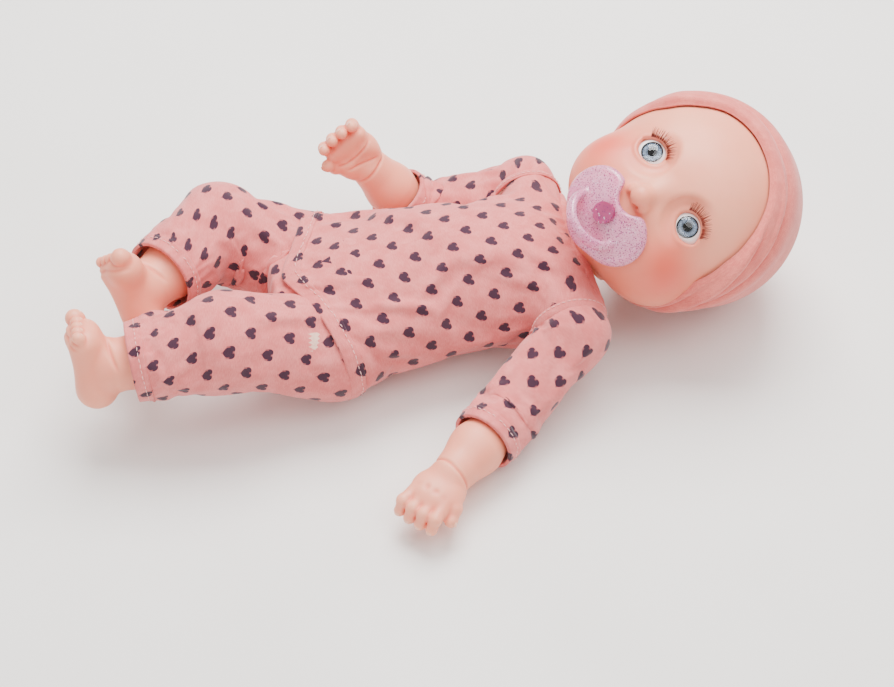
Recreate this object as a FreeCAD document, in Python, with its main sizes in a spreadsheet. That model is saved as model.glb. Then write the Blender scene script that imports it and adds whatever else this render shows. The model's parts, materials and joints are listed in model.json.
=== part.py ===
# Interactive baby doll, 14 inch class: stuffed cloth body, vinyl head and limbs, sound box in the belly.
# Frame: the doll lies on its back on z = 0, +Z is the doll's front, +X points to the head,
# -Y is the doll's left side. Lengths in millimetres.
import FreeCAD, Part
import math
import os

V = FreeCAD.Vector
doc = FreeCAD.newDocument("InteractiveBabyDoll")
sheet = doc.addObject("Spreadsheet::Sheet", "Sizes")

SIZES = {
    # torso
    "torso_half_width": 36.8, "torso_half_depth": 31.0,
    "cloth_thick": 1.2, "layer_gap": 0.2, "hip_web_half": 15.0, "side_limit": 37.3,
    "shoulder_boss_rad": 10.5, "hip_boss_rad": 10.0, "floor_cut": 0.0,
    # head
    "skull_front": 46.0, "skull_side": 44.5, "skull_up": 45.0,
    "jaw_front": 33.0, "jaw_side": 37.0, "jaw_up": 28.0, "vinyl_wall": 2.6,
    "nose_rad": 5.2, "eye_rad": 9.0, "eye_open_rad": 6.4, "iris_rad": 4.7, "iris_thick": 0.6,
    "cornea_rad": 9.3, "eye_cup_rad": 10.6, "cap_thick": 1.8, "band_thick": 3.0, "cap_gap": 0.4,
    # neck
    "neck_rad": 10.0, "neck_flange_rad": 14.0, "neck_flange_thick": 2.4, "neck_fit": 0.35,
    "neck_collar_rad": 15.5, "neck_collar_len": 6.0, "neck_stub_len": 15.0, "tie_wide": 2.6,
    "tie_thick": 1.6,
    # pacifier
    "shield_half_width": 22.5, "shield_half_height": 16.5, "shield_thick": 2.2, "shield_curve": 46.0,
    "notch_rad": 8.5, "hub_rad": 4.6, "teat_rad": 4.0,
    "handle_rad": 12.5, "handle_wire": 1.9, "paci_magnet_rad": 2.4, "paci_magnet_len": 4.0,
    "pocket_rad": 5.6, "reed_len": 12.0, "reed_rad": 1.5,
    # arms and legs
    "arm_rad": 12.0, "shoulder_rad": 13.0, "sleeve_gap": 0.5, "sleeve_thick": 1.4,
    "forearm_rad": 11.4, "wrist_rad": 8.6, "groove_rad": 6.2, "flange_rad": 8.4, "flange_thick": 2.4,
    "groove_len": 4.0, "bore_rad": 8.9, "limb_tie_in": 6.5, "limb_tie_out": 8.6, "limb_tie_wide": 2.4,
    "palm_wide": 11.5, "palm_long": 11.0, "palm_deep": 6.2, "finger_rad": 2.7, "thumb_rad": 3.0,
    "hip_rad": 20.5, "knee_rad": 18.6, "shank_cloth_rad": 15.2, "leg_sleeve_gap": 0.5,
    "shank_rad": 12.6, "ankle_rad": 10.2, "heel_rad": 7.8, "ball_rad": 7.0, "toe_rad": 2.9,
    "big_toe_rad": 3.9,
    # sound box
    "box_rad": 23.0, "box_wall": 1.6, "box_low": 13.0, "box_split": 28.0, "box_high": 42.0,
    "speaker_rad": 10.0, "speaker_deep": 4.0, "speaker_magnet_rad": 5.0, "speaker_magnet_len": 3.0,
    "board_rad": 19.6, "board_thick": 1.2, "board_high": 29.6,
    "cell_rad": 5.8, "cell_len": 5.4, "cell_pitch": 5.5, "door_long": 26.0, "door_wide": 15.0,
    "door_thick": 1.4, "door_play": 0.2, "button_rad": 7.4, "button_hole_play": 0.25,
    "button_thick": 4.2, "stem_rad": 2.0, "spring_wire": 0.6,
    "spring_rad": 3.6, "screw_rad": 1.2, "screw_head_rad": 2.1,
}
for row, (alias, value) in enumerate(SIZES.items(), start=2):
    sheet.set(f"A{row}", alias)
    sheet.set(f"B{row}", str(value))
    sheet.setAlias(f"B{row}", alias)
sheet.set("A1", "dimension")
sheet.set("B1", "millimetres")
doc.recompute()

NODES = []


# ---------------------------------------------------------------- small helpers
def fill(text):
    """Turn 'arm_rad + 0.5' into an expression on the sheet."""
    words = text.replace("(", " ( ").replace(")", " ) ").split()
    return " ".join(f"Sizes.{word}" if word in SIZES else word for word in words)


def size(text):
    """Value in millimetres of the same kind of text."""
    words = text.replace("(", " ( ").replace(")", " ) ").split()
    numbers = [SIZES.get(word, word) for word in words]
    total, sign = 0.0, 1.0
    for item in numbers:
        if item == "+":
            sign = 1.0
        elif item == "-":
            sign = -1.0
        else:
            total += sign * float(item)
            sign = 1.0
    return total


def along(direction, at=V(0, 0, 0)):
    """Placement that carries local +Z to a direction."""
    return FreeCAD.Placement(V(at), FreeCAD.Rotation(V(0, 0, 1), V(direction)))


def basis(x_axis, y_axis, z_axis, at):
    """Placement whose local axes are the three given world axes."""
    m = FreeCAD.Matrix(x_axis.x, y_axis.x, z_axis.x, at.x,
                       x_axis.y, y_axis.y, z_axis.y, at.y,
                       x_axis.z, y_axis.z, z_axis.z, at.z,
                       0, 0, 0, 1)
    return FreeCAD.Placement(m)


def make(kind, name, place=None, **sizes):
    """Add a parametric Part object and bind its sizes to the sheet."""
    obj = doc.addObject(kind, name)
    for prop, text in sizes.items():
        if isinstance(text, (int, float)):
            setattr(obj, prop, text)
        else:
            obj.setExpression(prop, fill(text))
    if place is not None:
        obj.Placement = place
    return obj


def box(name, low, high):
    obj = doc.addObject("Part::Box", name)
    obj.Length = high[0] - low[0]
    obj.Width = high[1] - low[1]
    obj.Height = high[2] - low[2]
    obj.Placement = FreeCAD.Placement(V(*low), FreeCAD.Rotation())
    return obj


def cut(name, base, tool):
    obj = doc.addObject("Part::Cut", name)
    obj.Base = base
    obj.Tool = tool
    return obj


def fuse(name, shapes):
    obj = doc.addObject("Part::MultiFuse", name)
    obj.Shapes = shapes
    obj.Refine = False
    return obj


def fuse_in_turn(name, shapes):
    """Fuse a limb's many crossing balls and cones two at a time, which keeps every piece of it."""
    whole = shapes[0]
    for k, shape in enumerate(shapes[1:]):
        step = doc.addObject("Part::Fuse", f"{name}{k}")
        step.Base = whole
        step.Tool = shape
        step.Refine = False
        whole = step
    return whole


def common(name, shapes):
    obj = doc.addObject("Part::MultiCommon", name)
    obj.Shapes = shapes
    return obj


def node(label, obj):
    obj.Label = label
    NODES.append(obj)
    return obj


def copy_of(name, shape_source):
    """A second independent object that follows the first one's shape."""
    obj = doc.addObject("Part::Compound", name)
    obj.Links = [shape_source]
    return obj


def group(name, items):
    obj = doc.addObject("Part::Compound", name)
    obj.Links = items
    return obj


def sphere(name, at, radius):
    return make("Part::Sphere", name, FreeCAD.Placement(V(at), FreeCAD.Rotation()), Radius=radius)


def cylinder(name, at, direction, radius, height):
    return make("Part::Cylinder", name, along(direction, at), Radius=radius, Height=height)


def cone(name, start, end, r_start, r_end):
    direction = V(end) - V(start)
    return make("Part::Cone", name, along(direction, start), Radius1=r_start, Radius2=r_end,
                Height=direction.Length)


def ellipsoid(name, place, front, side, up):
    """Radius1 is along local z, Radius2 along x, Radius3 along y."""
    return make("Part::Ellipsoid", name, place, Radius1=up, Radius2=front, Radius3=side,
                Angle1=-90.0, Angle2=90.0, Angle3=360.0)


def chain(name, points, radii):
    """Balls at the points joined by cones: a stuffed limb."""
    parts = []
    for k, (point, radius) in enumerate(zip(points, radii)):
        parts.append(sphere(f"{name}Ball{k}", point, f"{radius} + 0.1"))
    for k in range(len(points) - 1):
        parts.append(cone(f"{name}Cone{k}", points[k], points[k + 1], radii[k], radii[k + 1]))
    return fuse(f"{name}Chain", parts)


# ---------------------------------------------------------------- torso layers
# station: x, share of the half width, share of the half depth, height of the centre
TORSO = [(-74, 0.46, 0.44, 28.0), (-64, 0.67, 0.73, 28.5), (-46, 0.85, 0.93, 28.8),
         (-18, 1.00, 1.00, 29.0), (16, 0.98, 0.96, 28.6), (40, 0.94, 0.85, 28.8),
         (53, 0.83, 0.64, 29.6), (60, 0.62, 0.43, 31.0)]
TO_X = FreeCAD.Rotation(V(1, 1, 1), 120)
CHEST_LOW = -30.0


def torso_loft(name, inset, end_inset):
    """Closed loft through ellipses square to X, drawn in by an inset."""
    rings = []
    low, high = TORSO[0][0], TORSO[-1][0]
    for k, (x, wide, deep, centre) in enumerate(TORSO):
        place_x = min(max(x, low + end_inset), high - end_inset)
        rings.append(make("Part::Ellipse", f"{name}Ring{k}",
                          FreeCAD.Placement(V(place_x, 0, centre), TO_X),
                          MajorRadius=f"torso_half_width * {wide} - ( {inset} )",
                          MinorRadius=f"torso_half_depth * {deep} - ( {inset} )"))
    loft = doc.addObject("Part::Loft", f"{name}Loft")
    loft.Sections = rings
    loft.Solid = True
    loft.Ruled = False
    return loft


def torso_form(name, inset, end_inset, x_low=-90.0, x_high=90.0):
    """Loft narrowed to a web between the thighs and flattened on the back, all drawn in by the inset."""
    depth = size(inset)
    web = SIZES["hip_web_half"] - depth
    keep = box(f"{name}Web", (x_low, -web, SIZES["floor_cut"] + depth), (x_high, web, 90))
    chest_low = max(x_low, CHEST_LOW + depth)
    if chest_low < x_high:
        chest = box(f"{name}Chest", (chest_low, -60, SIZES["floor_cut"] + depth), (x_high, 60, 90))
        keep = fuse(f"{name}Keep", [keep, chest])
    return common(f"{name}Form", [torso_loft(name, inset, end_inset), keep])


def layer(label, outer_inset, inner_inset, x_low, x_high, inner_end=0.0):
    """One cloth layer of the torso between two insets and two cross planes."""
    outer = torso_form(f"{label}Outer", outer_inset, 0.0, x_low, x_high)
    inner = torso_form(f"{label}Inner", inner_inset, inner_end)
    return cut(f"{label}Shell", outer, inner)


SHOULDER = {"right": V(50, 44, 33), "left": V(50, -44, 33)}
HIP = {"right": V(-53, 24, 27), "left": V(-53, -24, 27)}
NECK = V(68, 0, 36)
NECK_AXIS = V(math.cos(math.radians(28)), 0, math.sin(math.radians(28)))
NECK_REAR = NECK - NECK_AXIS * 16.0
TOP_IN = "cloth_thick"
PANTS_OUT = "cloth_thick + layer_gap"
PANTS_IN = "cloth_thick + cloth_thick + layer_gap"
SKIN_OUT = "cloth_thick + cloth_thick + layer_gap + layer_gap"
SKIN_IN = "cloth_thick + cloth_thick + cloth_thick + layer_gap + layer_gap"
STUFF_OUT = "cloth_thick + cloth_thick + cloth_thick + layer_gap + layer_gap + layer_gap"
neck_path = cylinder("NeckPath", NECK_REAR, NECK_AXIS, "neck_rad + 0.3", "neck_stub_len + 12")


def shoulder_hole(name, radius):
    return make("Part::Cylinder", name, along(V(0, 1, 0), V(50, -60, 33)), Radius=radius, Height=120.0)


hip_hole = make("Part::Cylinder", "HipHole", along(V(0, 1, 0), V(-53, -40, 27)), Radius="hip_boss_rad + 0.3",
                Height=80.0)
top_shoulder_hole = shoulder_hole("TopShoulderHole", "shoulder_boss_rad + 0.3")
top_holes = fuse("TopHoles", [top_shoulder_hole, neck_path, hip_hole])
node("top_body", cut("TopBody", layer("Top", "0", TOP_IN, -69.0, 59.8, 0.0), top_holes))
node("pants_hips", cut("PantsHips", layer("Pants", PANTS_OUT, PANTS_IN, -73.0, -34.0, 1.2),
                       copy_of("PantsHole", hip_hole)))

boss = make("Part::Cylinder", "ShoulderBoss", along(V(0, 1, 0), V(50, -SIZES["side_limit"], 33)),
            Radius="shoulder_boss_rad", Height="side_limit + side_limit")
neck_tube = cylinder("NeckTube", NECK_REAR, NECK_AXIS, "neck_rad", "neck_stub_len - 3")
hip_boss = make("Part::Cylinder", "HipBoss", along(V(0, 1, 0), V(-53, -15.25, 27)),
                Radius="hip_boss_rad", Height="hip_web_half + hip_web_half + 0.5")
skin_solid = fuse("SkinSolid", [torso_form("SkinOuter", SKIN_OUT, 1.4), boss, hip_boss, neck_tube])
space = torso_form("SkinInner", SKIN_IN, 2.6)
lead_hole_skin = cylinder("LeadHoleSkin", NECK_REAR - NECK_AXIS * 6, NECK_AXIS, "2.2", "40")
BOX_X, BOX_Y = -4.5, 0.0
flap_window = box("FlapWindow", (BOX_X - 15, -10, -2), (BOX_X + 15, 10, 8))
node("torso_skin", cut("TorsoSkin", skin_solid, fuse("SkinTools", [space, lead_hole_skin, flap_window])))

box_room = cylinder("BoxRoom", V(BOX_X, BOX_Y, -5), V(0, 0, 1), "box_rad + 0.4", "box_high + 5.4")
button_room = cylinder("ButtonRoom", V(BOX_X - 11.5, BOX_Y, 30), V(0, 0, 1), "button_rad + 0.8", "18.5")
lead_room = fuse("LeadRoom", [
    cylinder("LeadRoomNeck", NECK_REAR - NECK_AXIS * 20, NECK_AXIS, "2.2", "60"),
    cylinder("LeadRoomBox", V(10, 0, 26), V(1, 0, -0.05), "2.2", "36")])
node("torso_stuffing", cut("TorsoStuffing", torso_form("Stuffing", STUFF_OUT, 2.8),
                           fuse("StuffTools", [box_room, button_room, lead_room])))

# cloth flap with a touch fastener that closes the back of the cloth body under the battery door
FLAP_LOW = size(SKIN_OUT)
node("back_flap", box("Flap", (BOX_X - 14.8, -9.8, FLAP_LOW), (BOX_X + 14.8, 9.8, FLAP_LOW + 1.0)))

# ---------------------------------------------------------------- neck, fixed to the torso
stub = cylinder("NeckStub", NECK - NECK_AXIS * 3.6, NECK_AXIS, "neck_rad - 0.4", "neck_stub_len - 4")
flange = cylinder("NeckFlange", NECK + NECK_AXIS * 5.4, NECK_AXIS, "neck_flange_rad", "neck_flange_thick")
plug_hole = cylinder("NeckPlugHole", NECK - NECK_AXIS * 10, NECK_AXIS, "2.2", "40")
node("neck_disc", cut("NeckDisc", fuse("NeckPlug", [stub, flange]), plug_hole))
tie_ring = cut("NeckTieRing",
               cylinder("NeckTieOut", NECK - NECK_AXIS * 7.4, NECK_AXIS, "neck_rad + tie_thick", "tie_wide"),
               cylinder("NeckTieIn", NECK - NECK_AXIS * 9, NECK_AXIS, "neck_rad + 0.05", "tie_wide + 2"))
node("neck_tie", cut("NeckTie", tie_ring, fuse("TieClear", [torso_loft("TieTorso", "0", 0.0),
                                                        copy_of("TieBoss", boss)])))

# ---------------------------------------------------------------- head, built in its own axes
HEAD_AT = V(107.2, 0, 52.5)
face = V(-0.268, -0.455, 0.849)
face.normalize()
crown = V(0.943, 0.058, 0.328)
crown = crown - face * crown.dot(face)
crown.normalize()
left_ear = crown.cross(face)
HEAD = basis(face, left_ear, crown, HEAD_AT)


def in_head(x, y, z):
    return HEAD.multVec(V(x, y, z))


def head_dir(x, y, z):
    return HEAD.Rotation.multVec(V(x, y, z))


def head_place(x, y, z):
    return FreeCAD.Placement(in_head(x, y, z), HEAD.Rotation)


SKULL_AT = (-2, 0, 7)
JAW_AT = (9, 0, -17)
MOUTH = V(0.95, 0, -0.31)
MOUTH.normalize()
mouth_dir = head_dir(MOUTH.x, MOUTH.y, MOUTH.z)
skull = ellipsoid("Skull", head_place(*SKULL_AT), "skull_front", "skull_side", "skull_up")
jaw = ellipsoid("Jaw", head_place(*JAW_AT), "jaw_front", "jaw_side", "jaw_up")
nose = sphere("Nose", in_head(44.5, 0, -14.5), "nose_rad")
collar = cylinder("NeckCollar", NECK - NECK_AXIS * 1.4, NECK_AXIS, "neck_collar_rad", "neck_collar_len + 8")
head_solid = fuse("HeadSolid", [skull, jaw, nose, collar])
skull_in = ellipsoid("SkullIn", head_place(*SKULL_AT), "skull_front - vinyl_wall",
                     "skull_side - vinyl_wall", "skull_up - vinyl_wall")
jaw_in = ellipsoid("JawIn", head_place(*JAW_AT), "jaw_front - vinyl_wall",
                   "jaw_side - vinyl_wall", "jaw_up - vinyl_wall")
hollow_solid = fuse("HollowSolid", [skull_in, jaw_in])
hollow_floor = cylinder("HollowFloor", NECK - NECK_AXIS * 30, NECK_AXIS, "60", "35")
pocket_wall_at = in_head(34 - 12.4 * MOUTH.x, 0, -26.4 - 12.4 * MOUTH.z)
pocket_wall = cylinder("PocketWall", pocket_wall_at, mouth_dir, "pocket_rad + 1.6", "20")
hollow_cut = cut("HollowCut", hollow_solid, fuse("HollowKeep", [hollow_floor, pocket_wall]))
neck_bore = cylinder("NeckBore", NECK - NECK_AXIS * 20, NECK_AXIS, "neck_rad + neck_fit", "40")
flange_bore = cylinder("FlangeBore", NECK + NECK_AXIS * 5.0, NECK_AXIS, "neck_flange_rad + 0.5", "24")
pocket_at = in_head(34 - 10.4 * MOUTH.x, 0, -26.4 - 10.4 * MOUTH.z)
pocket = cylinder("Pocket", pocket_at, mouth_dir, "pocket_rad", "30")
head_tools = [hollow_cut, neck_bore, flange_bore, pocket]
EYE_AT = {"right": (29.0, -16.8, -2.0), "left": (29.0, 16.8, -2.0)}
EYE_WAY = {"right": (0.983, -0.163, 0.081), "left": (0.983, 0.163, 0.081)}
for side, spot in EYE_AT.items():
    head_tools.append(sphere(f"EyeRoom{side}", in_head(*spot), "eye_cup_rad + 0.05"))
    head_tools.append(cylinder(f"EyeOpening{side}", in_head(*spot), head_dir(*EYE_WAY[side]),
                               "eye_open_rad", "20"))
node("head_shell", cut("HeadShell", head_solid, fuse("HeadTools", head_tools)))

# eyes: a cup behind each eye, the white ball, the printed iris, the lashes
for side, spot in EYE_AT.items():
    tag = side.capitalize()
    gaze = head_dir(*EYE_WAY[side])
    gaze.normalize()
    centre = in_head(*spot)
    cup_ball = sphere(f"CupBall{tag}", centre, "eye_cup_rad")
    cup_room = sphere(f"CupRoom{tag}", centre, "eye_rad + 0.05")
    cup_open = cylinder(f"CupOpen{tag}", centre + gaze * 3.5, gaze, "20", "20")
    node(f"eye_cup_{side}", cut(f"EyeCup{tag}", cup_ball, fuse(f"CupTools{tag}", [cup_room, cup_open])))
    ball = sphere(f"Ball{tag}", centre, "eye_rad")
    iris_room = cylinder(f"IrisRoom{tag}", centre + gaze * 7.0, gaze, "iris_rad + 0.05", "8")
    node(f"eyeball_{side}", cut(f"Eyeball{tag}", ball, iris_room))
    iris_base = cylinder(f"IrisBase{tag}", centre + gaze * 7.05, gaze, "iris_rad", "iris_thick")
    node(f"iris_{side}", iris_base)
    dome = common(f"DomeCommon{tag}", [
        sphere(f"Dome{tag}", centre, "cornea_rad"),
        cylinder(f"DomeKeep{tag}", centre + gaze * 7.7, gaze, "iris_rad", "8")])
    node(f"cornea_{side}", dome)
    up_dir = head_dir(0, 0, 1)
    lash_out = cylinder(f"LashOut{tag}", centre + gaze * 9.6, gaze, "eye_open_rad - 0.1", "3.4")
    lash_in = cylinder(f"LashIn{tag}", centre + gaze * 8.0, gaze, "eye_open_rad - 1.1", "8")
    lash_drop = cylinder(f"LashDrop{tag}", centre + up_dir * 2.2, up_dir * -1, "30", "30")
    lash_clear = sphere(f"LashClear{tag}", centre, "eye_cup_rad + 0.1")
    lash_ring = cut(f"LashRing{tag}", lash_out, lash_in)
    lash_tools = fuse(f"LashTools{tag}", [lash_drop, lash_clear])
    node(f"eyelashes_{side}", cut(f"Eyelashes{tag}", lash_ring, lash_tools))

# knitted cap: crown behind the seam, folded band in front of it
CAP_AT = (-3.2, 0, 7)


def cap_shell(name, extra_in, extra_out):
    outer = ellipsoid(f"{name}Out", head_place(*CAP_AT), f"skull_front + 1.2 + {extra_out}",
                      f"skull_side + {extra_out}", f"skull_up + {extra_out}")
    inner = ellipsoid(f"{name}In", head_place(*CAP_AT), f"skull_front + 1.2 + {extra_in}",
                      f"skull_side + {extra_in}", f"skull_up + {extra_in}")
    return cut(f"{name}Shell", outer, inner)


EDGE_TILT = math.radians(11)
edge_normal = head_dir(math.cos(EDGE_TILT), 0, -math.sin(EDGE_TILT))
cap_clear = fuse("CapClear", [cylinder("CapNeckRoom", NECK - NECK_AXIS * 20, NECK_AXIS, "neck_collar_rad + 5", "34"),
                              ellipsoid("CapSkull", head_place(*SKULL_AT), "skull_front + 0.2",
                                        "skull_side + 0.2", "skull_up + 0.2"),
                              ellipsoid("CapJaw", head_place(*JAW_AT), "jaw_front + 0.3",
                                        "jaw_side + 0.3", "jaw_up + 0.3")])
nape = cylinder("Nape", in_head(0, 0, -25), head_dir(-0.25, 0, -1), "90", "60")
crown_front = cylinder("CrownFront", in_head(12.0, 0, 0), edge_normal, "90", "80")
node("cap_crown", cut("CapCrown", cap_shell("Crown", "cap_gap", "cap_gap + cap_thick"),
                      fuse("CrownTools", [cap_clear, nape, crown_front])))
band_front = cylinder("BandFront", in_head(22.5, 0, 0), edge_normal, "90", "80")
band_back = cylinder("BandBack", in_head(12.05, 0, 0), edge_normal * -1, "90", "90")
node("cap_band", cut("CapBand", cap_shell("Band", "cap_gap", "cap_gap + band_thick"),
                     fuse("BandTools", [copy_of("BandClear", cap_clear), copy_of("BandNape", nape),
                                        band_front, band_back])))

# ---------------------------------------------------------------- pacifier, its own axes along the mouth
SHIELD_AT = in_head(46.5, 0, -30.5)
paci_side = head_dir(0, 1, 0)
paci_up = mouth_dir.cross(paci_side)
PACI = basis(paci_side, paci_up, mouth_dir, SHIELD_AT)


def paci_place(x, y, z):
    return FreeCAD.Placement(PACI.multVec(V(x, y, z)), PACI.Rotation)


def paci_dir(x, y, z):
    return PACI.Rotation.multVec(V(x, y, z))


shield_prism = make("Part::Cylinder", "ShieldRound", paci_place(0, 0, -14), Radius="shield_half_height",
                    Height="28")
lobes = []
for k, shift in enumerate((-1, 1)):
    lobes.append(make("Part::Cylinder", f"ShieldLobe{k}", paci_place(shift * 8.5, 1.2, -14),
                      Radius="shield_half_width - 8.5", Height="28"))
notch = make("Part::Cylinder", "ShieldNotch", paci_place(0, 18.0, -16), Radius="notch_rad", Height="32")
shield_outline = cut("ShieldOutline", fuse("ShieldLobes", [shield_prism] + lobes), notch)
curve_at = paci_place(0, 0, -SIZES["shield_curve"])
curve_out = make("Part::Sphere", "CurveOut", curve_at, Radius="shield_curve")
curve_in = make("Part::Sphere", "CurveIn", curve_at, Radius="shield_curve - shield_thick")
shield_plate = common("ShieldPlate", [cut("CurveShell", curve_out, curve_in), shield_outline])
handle_ring = make("Part::Torus", "HandleRing", Radius1="handle_rad",
                   Radius2="handle_wire", Angle1=-180.0, Angle2=180.0, Angle3=360.0)
handle_ring.Placement = FreeCAD.Placement(
    PACI.multVec(V(0, -3.0, -2.6)),
    PACI.Rotation.multiply(FreeCAD.Rotation(V(1, 0, 0), -62)))
handle_keep = make("Part::Cylinder", "HandleKeep", paci_place(0, 0, -1.9), Radius="40", Height="40")
handle = common("Handle", [handle_ring, handle_keep])
teat_hole = make("Part::Cylinder", "TeatHole", paci_place(0, 0, -16), Radius="teat_rad + 0.05", Height="30")
node("pacifier_shield", cut("PacifierShield", fuse("ShieldSolid", [shield_plate, handle]), teat_hole))
teat_stem = make("Part::Cylinder", "TeatStem", paci_place(0, 0, -14.5), Radius="teat_rad", Height="14.6")
teat_tip = make("Part::Sphere", "TeatTip", paci_place(0, 0, -14.5), Radius="teat_rad + 0.6")
teat_hub = make("Part::Cylinder", "TeatHub", paci_place(0, 0, 0.05), Radius="hub_rad", Height="2.6")
magnet_room = make("Part::Cylinder", "PaciMagnetRoom", paci_place(0, 0, -14.1), Radius="paci_magnet_rad + 0.05",
                   Height="paci_magnet_len + 0.1")
node("pacifier_teat", cut("PacifierTeat", fuse("TeatSolid", [teat_stem, teat_tip, teat_hub]), magnet_room))
node("pacifier_magnet", make("Part::Cylinder", "PacifierMagnet", paci_place(0, 0, -14.05),
                             Radius="paci_magnet_rad", Height="paci_magnet_len"))
reed_at = in_head(34 - 14.2 * MOUTH.x, -6, -26.4 - 14.2 * MOUTH.z)
node("mouth_reed_switch", cylinder("ReedSwitch", reed_at, head_dir(0, 1, 0), "reed_rad", "reed_len"))

# ---------------------------------------------------------------- limbs
ARM = {"right": {"elbow": V(2.6, 56.4, 14.6), "aim": V(-0.56, 0.13, 0.82), "palm": V(-0.2, -0.75, 0.6)},
       "left": {"elbow": V(14, -68, 14.6), "aim": V(-0.75, -0.65, 0.03), "palm": V(0.1, 0.1, -1.0)}}
LEG = {"right": {"knee": V(-90.6, 42, 40), "aim": V(-0.742, -0.657, 0.126), "toes": V(-0.336, 0.352, 0.872)},
       "left": {"knee": V(-98, -25, 42.5), "aim": V(-0.998, 0.0, -0.05), "toes": V(-0.12, 0.45, 0.88)}}


def side_cut(name, side, limit):
    """Everything on the torso's side of the hinge plane."""
    if side == "right":
        return box(name, (-220, -200, -80), (220, limit, 200))
    return box(name, (-220, -limit, -80), (220, 200, 200))


def end_plane(name, at, direction):
    """Everything past a plane across the limb."""
    return cylinder(name, at, direction, "45", "90")


def limb_end(name, start, aim):
    """Flange and groove that the cable tie holds, start of the hollow vinyl limb."""
    return [cylinder(f"{name}Flange", start, aim, "flange_rad", "flange_thick"),
            cylinder(f"{name}Groove", start, aim, "groove_rad", "flange_thick + groove_len + 1")]


def hand(name, wrist, aim, palm_way, side):
    """Palm, thumb and four curled fingers."""
    across = aim.cross(palm_way)
    across.normalize()
    palm_out = across.cross(aim)
    centre = wrist + aim * 10.5
    parts = [ellipsoid(f"{name}Palm", basis(palm_out, across, aim, centre), "palm_deep", "palm_wide",
                       "palm_long")]
    thumb_side = -1 if side == "right" else 1
    for k in range(4):
        shift = across * ((k - 1.5) * 5.2)
        reach = 8.2 - 0.7 * abs(k - 1.4)
        root = centre + shift + aim * 5.5
        knuckle = centre + shift * 1.08 + aim * (reach + 5.2) + palm_out * 0.6
        tip = knuckle + aim * 2.4 + palm_out * 4.6
        parts.append(cone(f"{name}FingerA{k}", root, knuckle, "finger_rad", "finger_rad - 0.1"))
        parts.append(sphere(f"{name}Knuckle{k}", knuckle, "finger_rad + 0.05"))
        parts.append(cone(f"{name}FingerB{k}", knuckle, tip, "finger_rad - 0.1", "finger_rad - 0.4"))
        parts.append(sphere(f"{name}Tip{k}", tip, "finger_rad - 0.3"))
    thumb_root = centre + across * (thumb_side * 6.0) - aim * 2.0
    thumb_tip = centre + across * (thumb_side * 12.6) + aim * 5.0 + palm_out * 3.6
    parts.append(cone(f"{name}Thumb", thumb_root, thumb_tip, "thumb_rad + 0.6", "thumb_rad - 0.3"))
    parts.append(sphere(f"{name}ThumbTip", thumb_tip, "thumb_rad - 0.2"))
    return parts


for side, spec in ARM.items():
    tag = side.capitalize()
    aim = V(spec["aim"])
    aim.normalize()
    elbow = spec["elbow"]
    start = elbow + aim * 2.0
    cloth_end = start + aim * 6.0
    cuff = start + aim * 15.0
    plane = 37.6
    body = chain(f"UpperArm{tag}", [SHOULDER[side], elbow, start + aim * 9.0],
                 ["shoulder_rad", "arm_rad", "arm_rad - 0.6"])
    bore = cylinder(f"ArmBore{tag}", start - aim * 0.5, aim, "bore_rad", "30")
    arm_tools = fuse(f"UpperArmTools{tag}", [side_cut(f"ArmPlane{tag}", side, plane), bore,
                                             end_plane(f"ArmEnd{tag}", cloth_end, aim)])
    node(f"upper_arm_{side}", cut(f"UpperArmCut{tag}", body, arm_tools))
    sleeve_out = chain(f"SleeveOut{tag}", [SHOULDER[side], elbow, start + aim * 24.0],
                       ["shoulder_rad + sleeve_gap + sleeve_thick", "arm_rad + sleeve_gap + sleeve_thick",
                        "arm_rad + sleeve_gap + sleeve_thick"])
    sleeve_in = chain(f"SleeveIn{tag}", [SHOULDER[side], elbow, start + aim * 24.0],
                      ["shoulder_rad + sleeve_gap", "arm_rad + sleeve_gap", "arm_rad + sleeve_gap"])
    sleeve_tools = fuse(f"SleeveTools{tag}", [sleeve_in, side_cut(f"SleevePlane{tag}", side, plane),
                                              end_plane(f"SleeveEnd{tag}", cuff, aim)])
    node(f"sleeve_{side}", cut(f"Sleeve{tag}", sleeve_out, sleeve_tools))
    tie = cut(f"ArmTieRing{tag}",
              cylinder(f"ArmTieOut{tag}", start + aim * 3.2, aim, "limb_tie_out", "limb_tie_wide"),
              cylinder(f"ArmTieIn{tag}", start + aim * 3.0, aim, "limb_tie_in", "limb_tie_wide + 1"))
    node(f"arm_tie_{side}", tie)
    wrist = start + aim * 38.0
    pieces = limb_end(f"Arm{tag}", start, aim)
    pieces.append(cone(f"Forearm{tag}", start + aim * 6.4, wrist, "forearm_rad", "wrist_rad"))
    pieces += hand(f"Hand{tag}", wrist, aim, spec["palm"], side)
    core = cone(f"ArmCore{tag}", start + aim * 8.6, wrist - aim * 2, "forearm_rad - 2.2", "wrist_rad - 2.2")
    vent = cylinder(f"ArmVent{tag}", start - aim * 1, aim, "3", "12")
    arm_hollow = fuse(f"ArmHollow{tag}", [core, vent])
    node(f"arm_{side}", cut(f"Arm{tag}", fuse_in_turn(f"ArmSolid{tag}", pieces), arm_hollow))

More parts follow.
